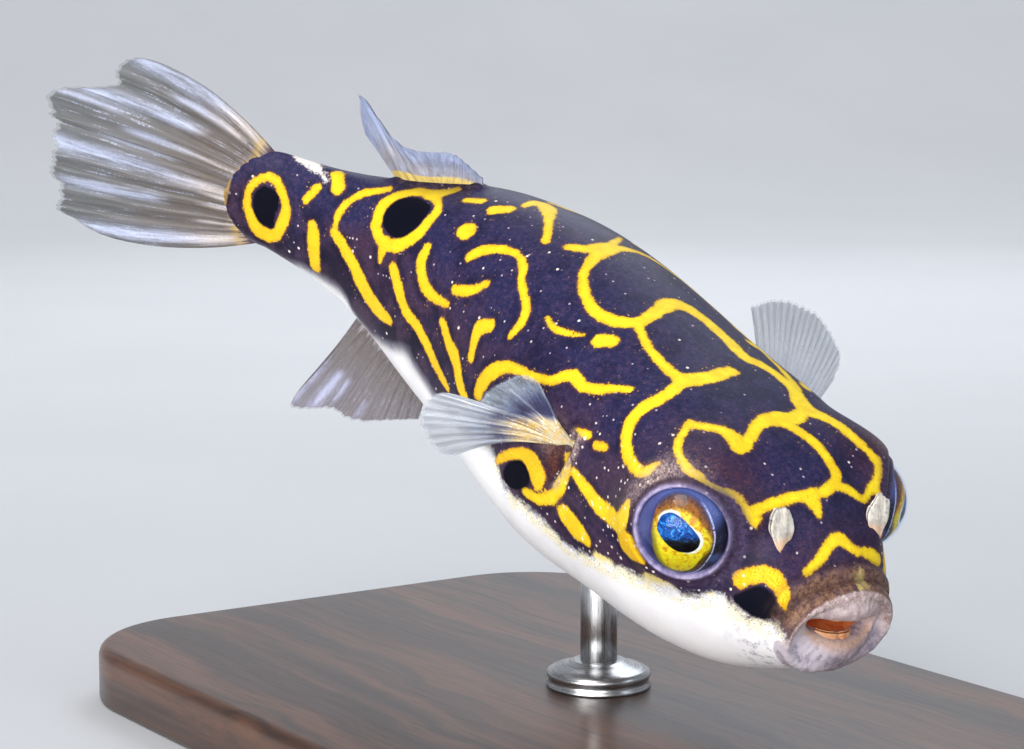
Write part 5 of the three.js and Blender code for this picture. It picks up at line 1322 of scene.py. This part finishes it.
# name: origin, back and up directions, root line, tip line, bow, ripple, sink,
# rays, notch and step depth of the edge, thickness at the root; bright bands as
# (u, drift, width, from, to, strength), the fleshy root and the body of the web
FINS = {
    "caudal_fin": dict(
        origin=place(1.0, 0, 0), back=tangent(1, -8), up=UPRIGHT,
        root=[[0, 0.45, 3.9], [0.5, 0.45, 0.6], [1, 0.45, -2.7]],
        tip=[[0, 10.57, 7.94], [0.06, 12.11, 7.60], [0.12, 12.92, 6.45], [0.17, 12.70, 5.71], [0.24, 14.60, 4.69], [0.30, 16.70, 3.91],
             [0.38, 17.02, 2.11], [0.46, 16.23, 1.56], [0.53, 16.29, 0.17], [0.60, 16.11, -1.02], [0.68, 16.02, -2.27],
             [0.77, 15.26, -3.64], [0.83, 15.44, -4.61], [0.90, 14.45, -5.35], [0.95, 12.73, -5.83], [1, 11.06, -6.00]],
        bow=lambda u: 0.9 - 1.5 * u, ripple=lambda u, v: 0.25 * v * np.sin(7 * u + 1), sink=0.0,
        rays=11, notch=0.018, steps=0.012, thick=0.50, seed=4, split=0.35, raise_=0.13,
        bands=[(0.035, 0.02, 0.035, 0.0, 1.0, 0.95), (0.115, 0.02, 0.020, 0.22, 0.66, 0.75), (0.235, 0.03, 0.030, 0.42, 1.0, 0.9),
               (0.355, 0.0, 0.015, 0.03, 0.66, 0.75), (0.45, 0.0, 0.018, 0.45, 0.82, 0.45), (0.545, -0.03, 0.028, 0.05, 1.1, 1.0),
               (0.605, 0.0, 0.014, 0.02, 0.30, 0.6), (0.685, 0.01, 0.016, 0.02, 0.30, 0.7), (0.695, 0.02, 0.028, 0.48, 0.98, 0.85),
               (0.80, 0.0, 0.014, 0.03, 0.34, 0.6), (0.93, 0.0, 0.034, 0.08, 1.0, 1.0), (0.30, 0.0, 0.012, 0.70, 1.05, 0.5)],
        fleshy=lambda u, q: np.clip(1 - q / 0.26, 0, 1), body=lambda u, q: 0.90 - 0.12 * q),
    "dorsal_fin": dict(
        origin=place(0.735, 0, back_h(0.79) * SL), back=tangent(0.79), up=leaned(0.79, 0),
        root=[[0, 0, 1.15], [0.5, 3.4, 0.35], [1, 6.8, -0.75]],
        tip=[[0, 0.26, 1.71], [0.2, 2.10, 2.15], [0.4, 3.42, 2.20], [0.6, 5.89, 1.46], [0.75, 8.17, 2.23], [0.9, 10.53, 3.51], [1, 9.51, 1.01]],
        bow=lambda u: 0 * u, ripple=lambda u, v: 0.35 * v * np.sin(6 * u), sink=0.9,
        rays=13, notch=0.015, steps=0.012, thick=0.55, seed=8, split=0.55, raise_=0.06,
        bands=[(0.86, 0.0, 0.06, 0.25, 1.0, 0.6), (0.30, 0.0, 0.10, 0.70, 1.1, 0.45), (0.62, 0.0, 0.03, 0.1, 0.7, 0.4)],
        fleshy=lambda u, q: np.clip(1.05 - q / (0.34 - 0.25 * smooth((u - 0.15) / 0.45)), 0, 1), body=lambda u, q: 0.88 - 0.08 * q),
    "anal_fin": dict(
        origin=place(0.735, 0, -belly_h(0.78) * SL), back=tangent(0.78), up=leaned(0.78, 20),
        root=[[0, 0.2, -1.1], [0.5, 3.6, 0.15], [1, 6.9, 1.75]],
        tip=[[0, -0.07, -3.56], [0.2, 1.48, -4.38], [0.35, 2.94, -5.15], [0.5, 4.62, -5.72], [0.62, 5.78, -5.66], [0.8, 7.63, -6.45],
             [0.9, 9.47, -6.85], [1, 8.28, -3.50]],
        bow=lambda u: 0 * u, ripple=lambda u, v: 0.35 * v * np.sin(6 * u + 2), sink=0.9,
        rays=12, notch=0.015, steps=0.012, thick=0.55, seed=3, split=0.5, raise_=0.07,
        bands=[(0.70, 0.0, 0.04, 0.62, 0.96, 0.6), (0.80, 0.0, 0.035, 0.55, 1.0, 0.75), (0.90, 0.0, 0.03, 0.5, 1.0, 0.65), (0.45, 0.0, 0.03, 0.72, 1.0, 0.4)],
        fleshy=lambda u, q: np.clip(1 - q / 0.22, 0, 1), body=lambda u, q: 0.70 - 0.06 * q),
    "pectoral_fin_right": dict(
        origin=place(PEC_S, -width_h(PEC_S) * SL, 0.78), back=side_dir(35, -1), up=UPRIGHT,
        root=[[0, 0.50, 2.25], [1, 0.50, 1.05]],
        tip=[[0, 2.42, 3.60], [0.08, 3.16, 4.12], [0.2, 4.38, 3.93], [0.3, 5.03, 3.34], [0.38, 5.64, 2.56], [0.45, 6.14, 1.72],
             [0.52, 7.22, 1.91], [0.58, 8.14, 1.76], [0.65, 8.81, 1.10], [0.73, 9.14, -0.21], [0.8, 9.03, -1.30],
             [0.86, 8.48, -2.21], [0.91, 7.99, -2.76], [0.96, 7.06, -3.03], [1, 6.45, -2.45]],
        bow=lambda u: 0.7 * u * u, ripple=lambda u, v: 0.9 * v * smooth(v / 0.6) * np.cos(2 * np.pi * (u - 0.1)), sink=1.2,
        rays=22, notch=0.010, steps=0.008, thick=0.40, seed=6, split=0.5, raise_=0.035, fold=0.028,
        bands=[(0.99, 0.0, 0.012, 0.20, 1.1, 1.0), (0.955, 0.0, 0.012, 0.35, 1.0, 0.4), (0.60, 0.0, 0.03, 0.45, 1.0, 0.45), (0.74, 0.0, 0.05, 0.40, 1.0, 0.40),
               (0.05, 0.0, 0.02, 0.2, 1.0, 0.45), (0.30, 0.0, 0.02, 0.3, 0.9, 0.35)],
        fleshy=lambda u, q: np.clip(1.05 - q / (0.34 + 0.30 * smooth((u - 0.12) / 0.32)), 0, 1),
        body=lambda u, q: 0.02 + 0.54 * smooth((u - 0.36) / 0.2) * smooth((q - 0.42) / 0.2) + 0.12 * smooth((q - 0.9) / 0.1)),
    "pectoral_fin_left": dict(
        origin=place(PEC_S, width_h(PEC_S) * SL, 0.78), back=LEFT_OUT, up=LEFT_UP,
        root=[[0, -1.1, 1.5], [1, 1.1, -0.5]],
        tip=[[0, -1.90, 8.99], [0.2, 1.33, 8.86], [0.4, 4.37, 7.93], [0.6, 6.78, 6.58], [0.8, 8.10, 4.66], [0.92, 7.88, 3.49], [1, 6.61, 2.54]],
        bow=lambda u: 0 * u, ripple=lambda u, v: 0.5 * v * np.cos(1.5 * np.pi * u), sink=0.7,
        rays=18, notch=0.012, steps=0.010, thick=0.42, seed=9, split=0.5, raise_=0.04, fold=0.035,
        bands=[(0.02, 0.0, 0.02, 0.2, 1.0, 0.6), (0.35, 0.0, 0.03, 0.4, 1.0, 0.4), (0.70, 0.0, 0.04, 0.4, 1.0, 0.4)],
        fleshy=lambda u, q: np.clip(1 - q / 0.25, 0, 1), body=lambda u, q: 0.34 + 0.16 * smooth((q - 0.6) / 0.3)),
}


def make_fin(name, d, material):
    rb, tb = [nat([r[0] for r in d[k]], [r[1] for r in d[k]]) if len(d[k]) > 2 else
              (lambda u, k=k: d[k][0][1] + u * (d[k][1][1] - d[k][0][1])) for k in ("root", "tip")]
    ru, tu = [nat([r[0] for r in d[k]], [r[2] for r in d[k]]) if len(d[k]) > 2 else
              (lambda u, k=k: d[k][0][2] + u * (d[k][1][2] - d[k][0][2])) for k in ("root", "tip")]
    out = unit(np.cross(d["back"], d["up"]))
    rand = np.random.RandomState(d["seed"])
    n = d["rays"]
    at = (np.arange(n) + 0.5 + rand.uniform(-0.13, 0.13, n)) / n
    at[0], at[-1] = 0.012, 0.988
    cut = rand.uniform(0, 1, n)

    def reach(u):
        """How far towards the full outline each part of the edge gets."""
        i = np.abs(u[..., None] - at).argmin(-1)
        gap = np.abs(u - at[i]) * n * 2
        fray = 0.008 * np.sin(171 * u + d["seed"]) * np.sin(67 * u + 1) * smooth(np.minimum(u, 1 - u) * 20)
        return 1 + fray - d["notch"] * np.clip(gap, 0, 1) ** 1.6 - d["steps"] * cut[i] * smooth(1.6 - gap)

    def rays(u, q):
        r = np.zeros(u.shape)
        open_ = 0.24 / n * smooth((q - d["split"]) / (1 - d["split"]))
        w = 0.055 / n * 2.2 * (1.25 - 0.55 * q)
        for a in at:
            r += bell((u - a - open_) / w) + bell((u - a + open_) / w)
        both = 1 + smooth((0.05 - open_ * n) / 0.05)
        return np.clip(r / both, 0, 1)

    def q_of(u, v):
        b0, u0, b1, u1 = rb(u), ru(u), tb(u), tu(u)
        length = np.hypot(b1 - b0, u1 - u0)
        t = (v * (length * reach(u) + d["sink"]) - d["sink"]) / length
        return b0, u0, b1, u1, t, np.clip(t, 0, 1)

    def surface(u, v):
        b0, u0, b1, u1, t, q = q_of(u, v)
        b = b0 + (b1 - b0) * t
        w = u0 + (u1 - u0) * t + d["bow"](u) * 4 * q * (1 - q)
        fold = d.get("fold", 0.05) * np.sin(2 * np.pi * n * u + 2 * q) * smooth((q - 0.06) * 2) + 0.05 * np.sin(9 * u + 7 * q + d["seed"]) * q
        return d["origin"] + d["back"] * b[..., None] + d["up"] * w[..., None] + out * (d["ripple"](u, q) + fold)[..., None]

    def thickness(u, v):
        q = q_of(u, v)[-1]
        # the leading and trailing edges taper to a rounded lip
        taper = 0.12 + 0.88 * smooth(np.minimum(u, 1 - u) / 0.14)
        base = d["thick"] * (1 - smooth(q / 0.38)) * taper + 0.10 - 0.04 * q
        joints = 0.8 + 0.2 * np.sin(q * 95 + 6 * u)
        return base + d["raise_"] * rays(u, q) * (1 - 0.55 * q) * joints * smooth((q + 0.03) / 0.25)

    def bands(u, v):
        q, total = q_of(u, v)[-1], 0 * u
        for u0, drift, width, start, stop, amount in d["bands"]:
            total += amount * bell((u - u0 - drift * (q - 0.5)) / width) * smooth((q - start) / 0.12 + 0.5) * smooth((stop - q) / 0.15 + 0.3)
        return np.clip(total, 0, 1)

    nu, nv = ((300, 56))
    fields = {"f_u": lambda u, v: u, "f_v": lambda u, v: q_of(u, v)[-1], "f_ray": lambda u, v: rays(u, q_of(u, v)[-1]),
              "f_edge": lambda u, v: smooth((v - 0.86) / 0.14), "f_band": bands,
              "f_root": lambda u, v: d["fleshy"](u, q_of(u, v)[-1]), "f_solid": lambda u, v: d["body"](u, q_of(u, v)[-1])}
    return leaf(name, surface, thickness, nu, nv, material, fields, (name,))


def make_flap(side):
    """Nasal flap: an upright, cupped petal with a rolled rim."""
    b = np.linspace(0.05, 1.4, 600)
    p = section(0.065, b)
    k = int(np.argmin(np.abs(np.abs(p[:, 1]) - 3.54)))
    root = p[k] * np.array([1, -1, 1])
    root[1] = abs(root[1])
    up = unit([-0.30, 0.10, 1])
    along = unit(UPRIGHT * 0 + np.array([0, 1.0, 0]) - up[1] * up)

    def surface(u, v):
        t = 2 * u - 1
        half = 1.66 / 2 * (0.20 + 0.76 * np.sin(np.pi / 2 * np.clip(v / 0.70, 0, 1)) ** 1.3 - 0.03 * smooth((v - 0.75) * 4) + 0.035 * np.sin(11 * v + 1.5 * side + 2 * t) * v)
        edge = 0.99 - 0.22 * t * t + 0.05 * t + 0.035 * np.sin(5.5 * t + 2 * side) + 0.012 * np.sin(17 * t)
        h = -0.5 + 2.62 * v * (1 - (1 - edge) * v)
        q = root + up * h[..., None] + along * (t * half)[..., None]
        cup = 0.20 * np.sin(np.pi * v) * (1 - t * t) - 0.10 * v + 0.16 * np.sqrt((t - 0.15) ** 2 + 0.02) * v
        q = q + np.stack([cup, 0 * cup, 0 * cup], -1)
        return q * np.array([1, side, 1])

    def thickness(u, v):
        t = 2 * u - 1
        roll = 0.07 * smooth((np.maximum(np.abs(t), v) - 0.60) / 0.3) + 0.05 * np.sin(6 * t + 5 * v + side) * smooth(2 * v)
        return (0.50 - 0.26 * v + roll) * (1 - 0.45 * smooth((np.maximum(np.abs(t), v) - 0.94) / 0.06)) + 0.25 * smooth(1 - v / 0.3)

    word = "left" if side > 0 else "right"
    n = 40
    return leaf("flap_" + word, surface, thickness, n, n, FLAP, {"f_v": lambda u, v: v, "f_u": lambda u, v: u}, ("nasal_flap_" + word,))


def make_tooth(sign, material):
    """Half of the beak: two fused plates with a notch between them."""
    word = "upper" if sign > 0 else "lower"

    def surface(u, v):
        t = 2 * u - 1
        edge = MOUTH_Z + sign * (0.40 + 0.10 * t * t + 0.10 * bell(t / 0.16))
        root = MOUTH_Z + sign * 1.25
        y = 1.3 * t
        x = -0.42 - 0.50 * t * t + 0.12 * np.sin(np.pi * np.clip(np.abs(t), 0, 1)) + MOUTH_TURN * y * 0.4
        z = root + (edge - root) * v + MOUTH_TILT * y * 0.8
        return np.stack([x + 0 * z, y + 0 * z, z], -1)

    return leaf("beak_" + word, surface, lambda u, v: 0.46 * (1 - 0.55 * v ** 3) * (1 - 0.25 * bell((2 * u - 1) / 0.10)), 40, 16, material,
                {"f_v": lambda u, v: v}, ("teeth_" + word,))


# ---- stand
def make_base(material):
    length, width, thick, corner, bevel = 70.0, 44.0, 4.0, 9.0, 0.8

    def outline(inset):
        pts, r = [], corner - inset
        for k, (sx, sy) in enumerate([(1, 1), (-1, 1), (-1, -1), (1, -1)]):
            for t in np.linspace(0, math.pi / 2, 15):
                a = t + k * math.pi / 2
                pts.append((sx * (length / 2 - corner) + r * math.cos(a), sy * (width / 2 - corner) + r * math.sin(a)))
        return np.array(pts)

    levels = [(0.35, 0.0), (0.10, 0.10), (0.0, 0.35)]
    levels += [(0.0, thick - bevel)]
    levels += [(bevel * (1 - math.cos(t)), thick - bevel + bevel * math.sin(t)) for t in np.linspace(0.2, math.pi / 2, 7)]
    rings = [np.column_stack([outline(i), np.full(60, z)]) for i, z in levels]
    P = np.array(rings)
    rows, cols = P.shape[:2]
    pts = P.reshape(-1, 3)
    top, bottom = np.arange((rows - 1) * cols, rows * cols)[None], np.arange(cols)[::-1][None]
    groups = outward(pts, [quads(rows, cols, wrap=True), top, bottom])
    uv = [grid_uv([groups[0]], rows, cols, True, (0.02, 0.455, 0.98, 0.505))]
    for g, (lo, hi) in ((groups[1], (0.53, 0.98)), (groups[2], (0.02, 0.43))):
        p = pts[g[0]]
        uv.append(np.column_stack([0.02 + 0.96 * (p[:, 0] + 35) / 70, lo + (hi - lo) * (p[:, 1] + 22) / 44]))
    return piece("base", pts / 1000, groups, material, None, np.concatenate(uv), ("stand_base",))


ROD_X, ROD_Y = -1.0468, 0.7863
skin = make_skin()
IRIS, CORNEA = eye_material(), cornea_material()
for side in (-1, 1):
    make_eye(side, IRIS, CORNEA)
make_fin("caudal_fin", FINS["caudal_fin"], fin_material("fin_tail", lin(98, 86, 76), lin(94, 97, 98), lin(122, 119, 122),
         lin(222, 212, 208), lin(186, 194, 220), lin(72, 52, 50), lin(196, 176, 150), 28.0, 0.22, cuff=0.10, glints=0.8))
make_fin("dorsal_fin", FINS["dorsal_fin"], fin_material("fin_back", lin(132, 128, 132), lin(120, 130, 160), lin(146, 152, 176),
         lin(176, 172, 170), lin(160, 172, 206), lin(104, 82, 52), lin(206, 182, 104), 14.0, 0.22, stripes=0.35))
make_fin("anal_fin", FINS["anal_fin"], fin_material("fin_vent", lin(98, 88, 82), lin(110, 104, 110), lin(122, 114, 118),
         lin(176, 170, 184), lin(178, 182, 212), lin(100, 92, 96), lin(168, 160, 166), 18.0, 0.22))
PEC = fin_material("fin_side", lin(108, 126, 170), lin(176, 182, 192), lin(204, 209, 218), lin(232, 228, 222), lin(224, 230, 240),
                   lin(122, 88, 58), lin(226, 212, 176), 22.0, 0.24, stripes=0.6, least=0.07, dapple=0.55)
make_fin("pectoral_fin_right", FINS["pectoral_fin_right"], PEC)
make_fin("pectoral_fin_left", FINS["pectoral_fin_left"], PEC)
FLAP = flap_material()
for side in (-1, 1):
    make_flap(side)
BEAK = tooth_material()
for sign in (1, -1):
    make_tooth(sign, BEAK)
make_base(wood_material())
lathe("collar", [(0.02, 4.0), (3.4, 4.0), (3.4, 4.18), (3.28, 4.34), (3.28, 4.62), (3.38, 4.74), (3.36, 5.02), (3.05, 5.22), (2.45, 5.38), (1.95, 5.58), (1.7, 5.72), (1.55, 5.75), (0.02, 5.75)],
      72, steel_material("stand_steel_turned", "round"), (ROD_X, ROD_Y), ("stand_collar",))
lathe("rod", [(0.02, 4.1), (1.2, 4.1), (1.2, 9.0), (1.2, 13.5), (1.1, 13.70), (0.02, 13.75)], 56, steel_material("stand_steel_drawn", "along"), (ROD_X, ROD_Y), ("stand_rod",))


# ---------------------------------------------------------------------- studio
def stage_mesh(name, profile, around, material):
    a = 2 * np.pi * np.arange(around) / around
    P = np.array([[(r * math.cos(t), r * math.sin(t), z) for t in a] for r, z in profile])
    me = bpy.data.meshes.new(name)
    me.from_pydata([tuple(p) for p in P.reshape(-1, 3)], [], [tuple(int(i) for i in q) for q in quads(len(profile), around, wrap=True)])
    for p in me.polygons:
        p.use_smooth = True
    ob = bpy.data.objects.new(name, me)
    bpy.context.collection.objects.link(ob)
    me.materials.append(material)
    return ob


def paper_material():
    k = Mat("studio_paper", Specular_IOR_Level=0.2)
    g = k.noise(0.02, 2)
    k.set(Base_Color=k.mix(g, lin(198, 201, 206), lin(206, 208, 212)), Roughness=k.add(0.85, k.mul(g, 0.05)))
    return k.m


profile = [(0.0005, 0.0), (0.05, 0.0), (0.25, 0.0), (0.45, 0.0)]
profile += [(0.45 + 0.40 * math.sin(t), 0.40 - 0.40 * math.cos(t)) for t in np.linspace(0.05, math.pi / 2, 28)]
profile += [(0.85, 0.8)]
stage_mesh("floor", profile, 96, paper_material())


def area(name, aim, azimuth, elevation, distance, size, watts, colour):
    data = bpy.data.lights.new(name, "AREA")
    data.shape, data.size, data.energy, data.color = "DISK", size, watts, colour
    ob = bpy.data.objects.new(name, data)
    a, e = math.radians(azimuth), math.radians(elevation)
    back = np.array([math.sin(a) * math.cos(e), -math.cos(a) * math.cos(e), math.sin(e)])
    z = back
    x = unit(np.cross([0, 0, 1.0], z))
    y = np.cross(z, x)
    m = Matrix.Identity(4)
    p = np.array(aim) + back * distance
    for i in range(3):
        m[i][0], m[i][1], m[i][2], m[i][3] = x[i], y[i], z[i], p[i]
    ob.matrix_world = m
    bpy.context.collection.objects.link(ob)


AIM = (0.0, 0.0, 0.026)
area("key", AIM, 24, 52, 0.45, 0.24, 1.15, (1.0, 0.985, 0.96))
area("fill", AIM, 52, 4, 0.50, 0.34, 1.20, (1.0, 0.99, 0.97))
area("low", AIM, 22, 2, 0.40, 0.24, 1.70, (1.0, 0.99, 0.98))
area("side", AIM, 120, 30, 0.50, 0.30, 0.45, (0.86, 0.92, 1.0))
area("rim", AIM, 225, 38, 0.45, 0.26, 0.40, (0.86, 0.92, 1.0))
area("wall", (-0.50, 0.36, 0.03), 55, 52, 0.48, 0.50, 1.50, (1.0, 1.0, 1.0))
world = bpy.data.worlds.new("studio_air")
bpy.context.scene.world = world
world.use_nodes = True
bg = world.node_tree.nodes["Background"]
bg.inputs["Color"].default_value = (0.93, 0.95, 1.0, 1)
bg.inputs["Strength"].default_value = 0.24

# ---------------------------------------------------------------------- camera
# The lens's pose in the fish's own frame: right, down and forward directions, and place.
RIGHT = np.array([0.51280387, 0.82559231, 0.23543475])
DOWN = np.array([0.50731644, -0.07017934, -0.85889749])
AHEAD = np.array([-0.69257651, 0.55988588, -0.45482479])
EYE_AT = -(np.stack([RIGHT, DOWN, AHEAD]).T @ np.array([18.92631319, 14.43971772, 142.65315686]))
FOCAL_PX, WIDE_PX = 2508.2098, 1024.0


def swing(v):
    c, s = math.cos(PITCH), math.sin(PITCH)
    return np.array([v[0] * c + v[2] * s, v[1], -v[0] * s + v[2] * c])


cam = bpy.data.cameras.new("camera")
cam.sensor_width, cam.lens = 36.0, 36.0 * FOCAL_PX / WIDE_PX
cam.clip_start, cam.clip_end = 0.01, 20.0
shot = bpy.data.objects.new("camera", cam)
m = Matrix.Identity(4)
at = to_row(EYE_AT)
for i, (x, y, z) in enumerate(zip(swing(RIGHT), -swing(DOWN), -swing(AHEAD))):
    m[i][0], m[i][1], m[i][2], m[i][3] = x, y, z, at[i]
shot.matrix_world = m
bpy.context.collection.objects.link(shot)
bpy.context.scene.camera = shot
bpy.context.scene.view_settings.view_transform = "Standard"

bpy.context.view_layer.update()
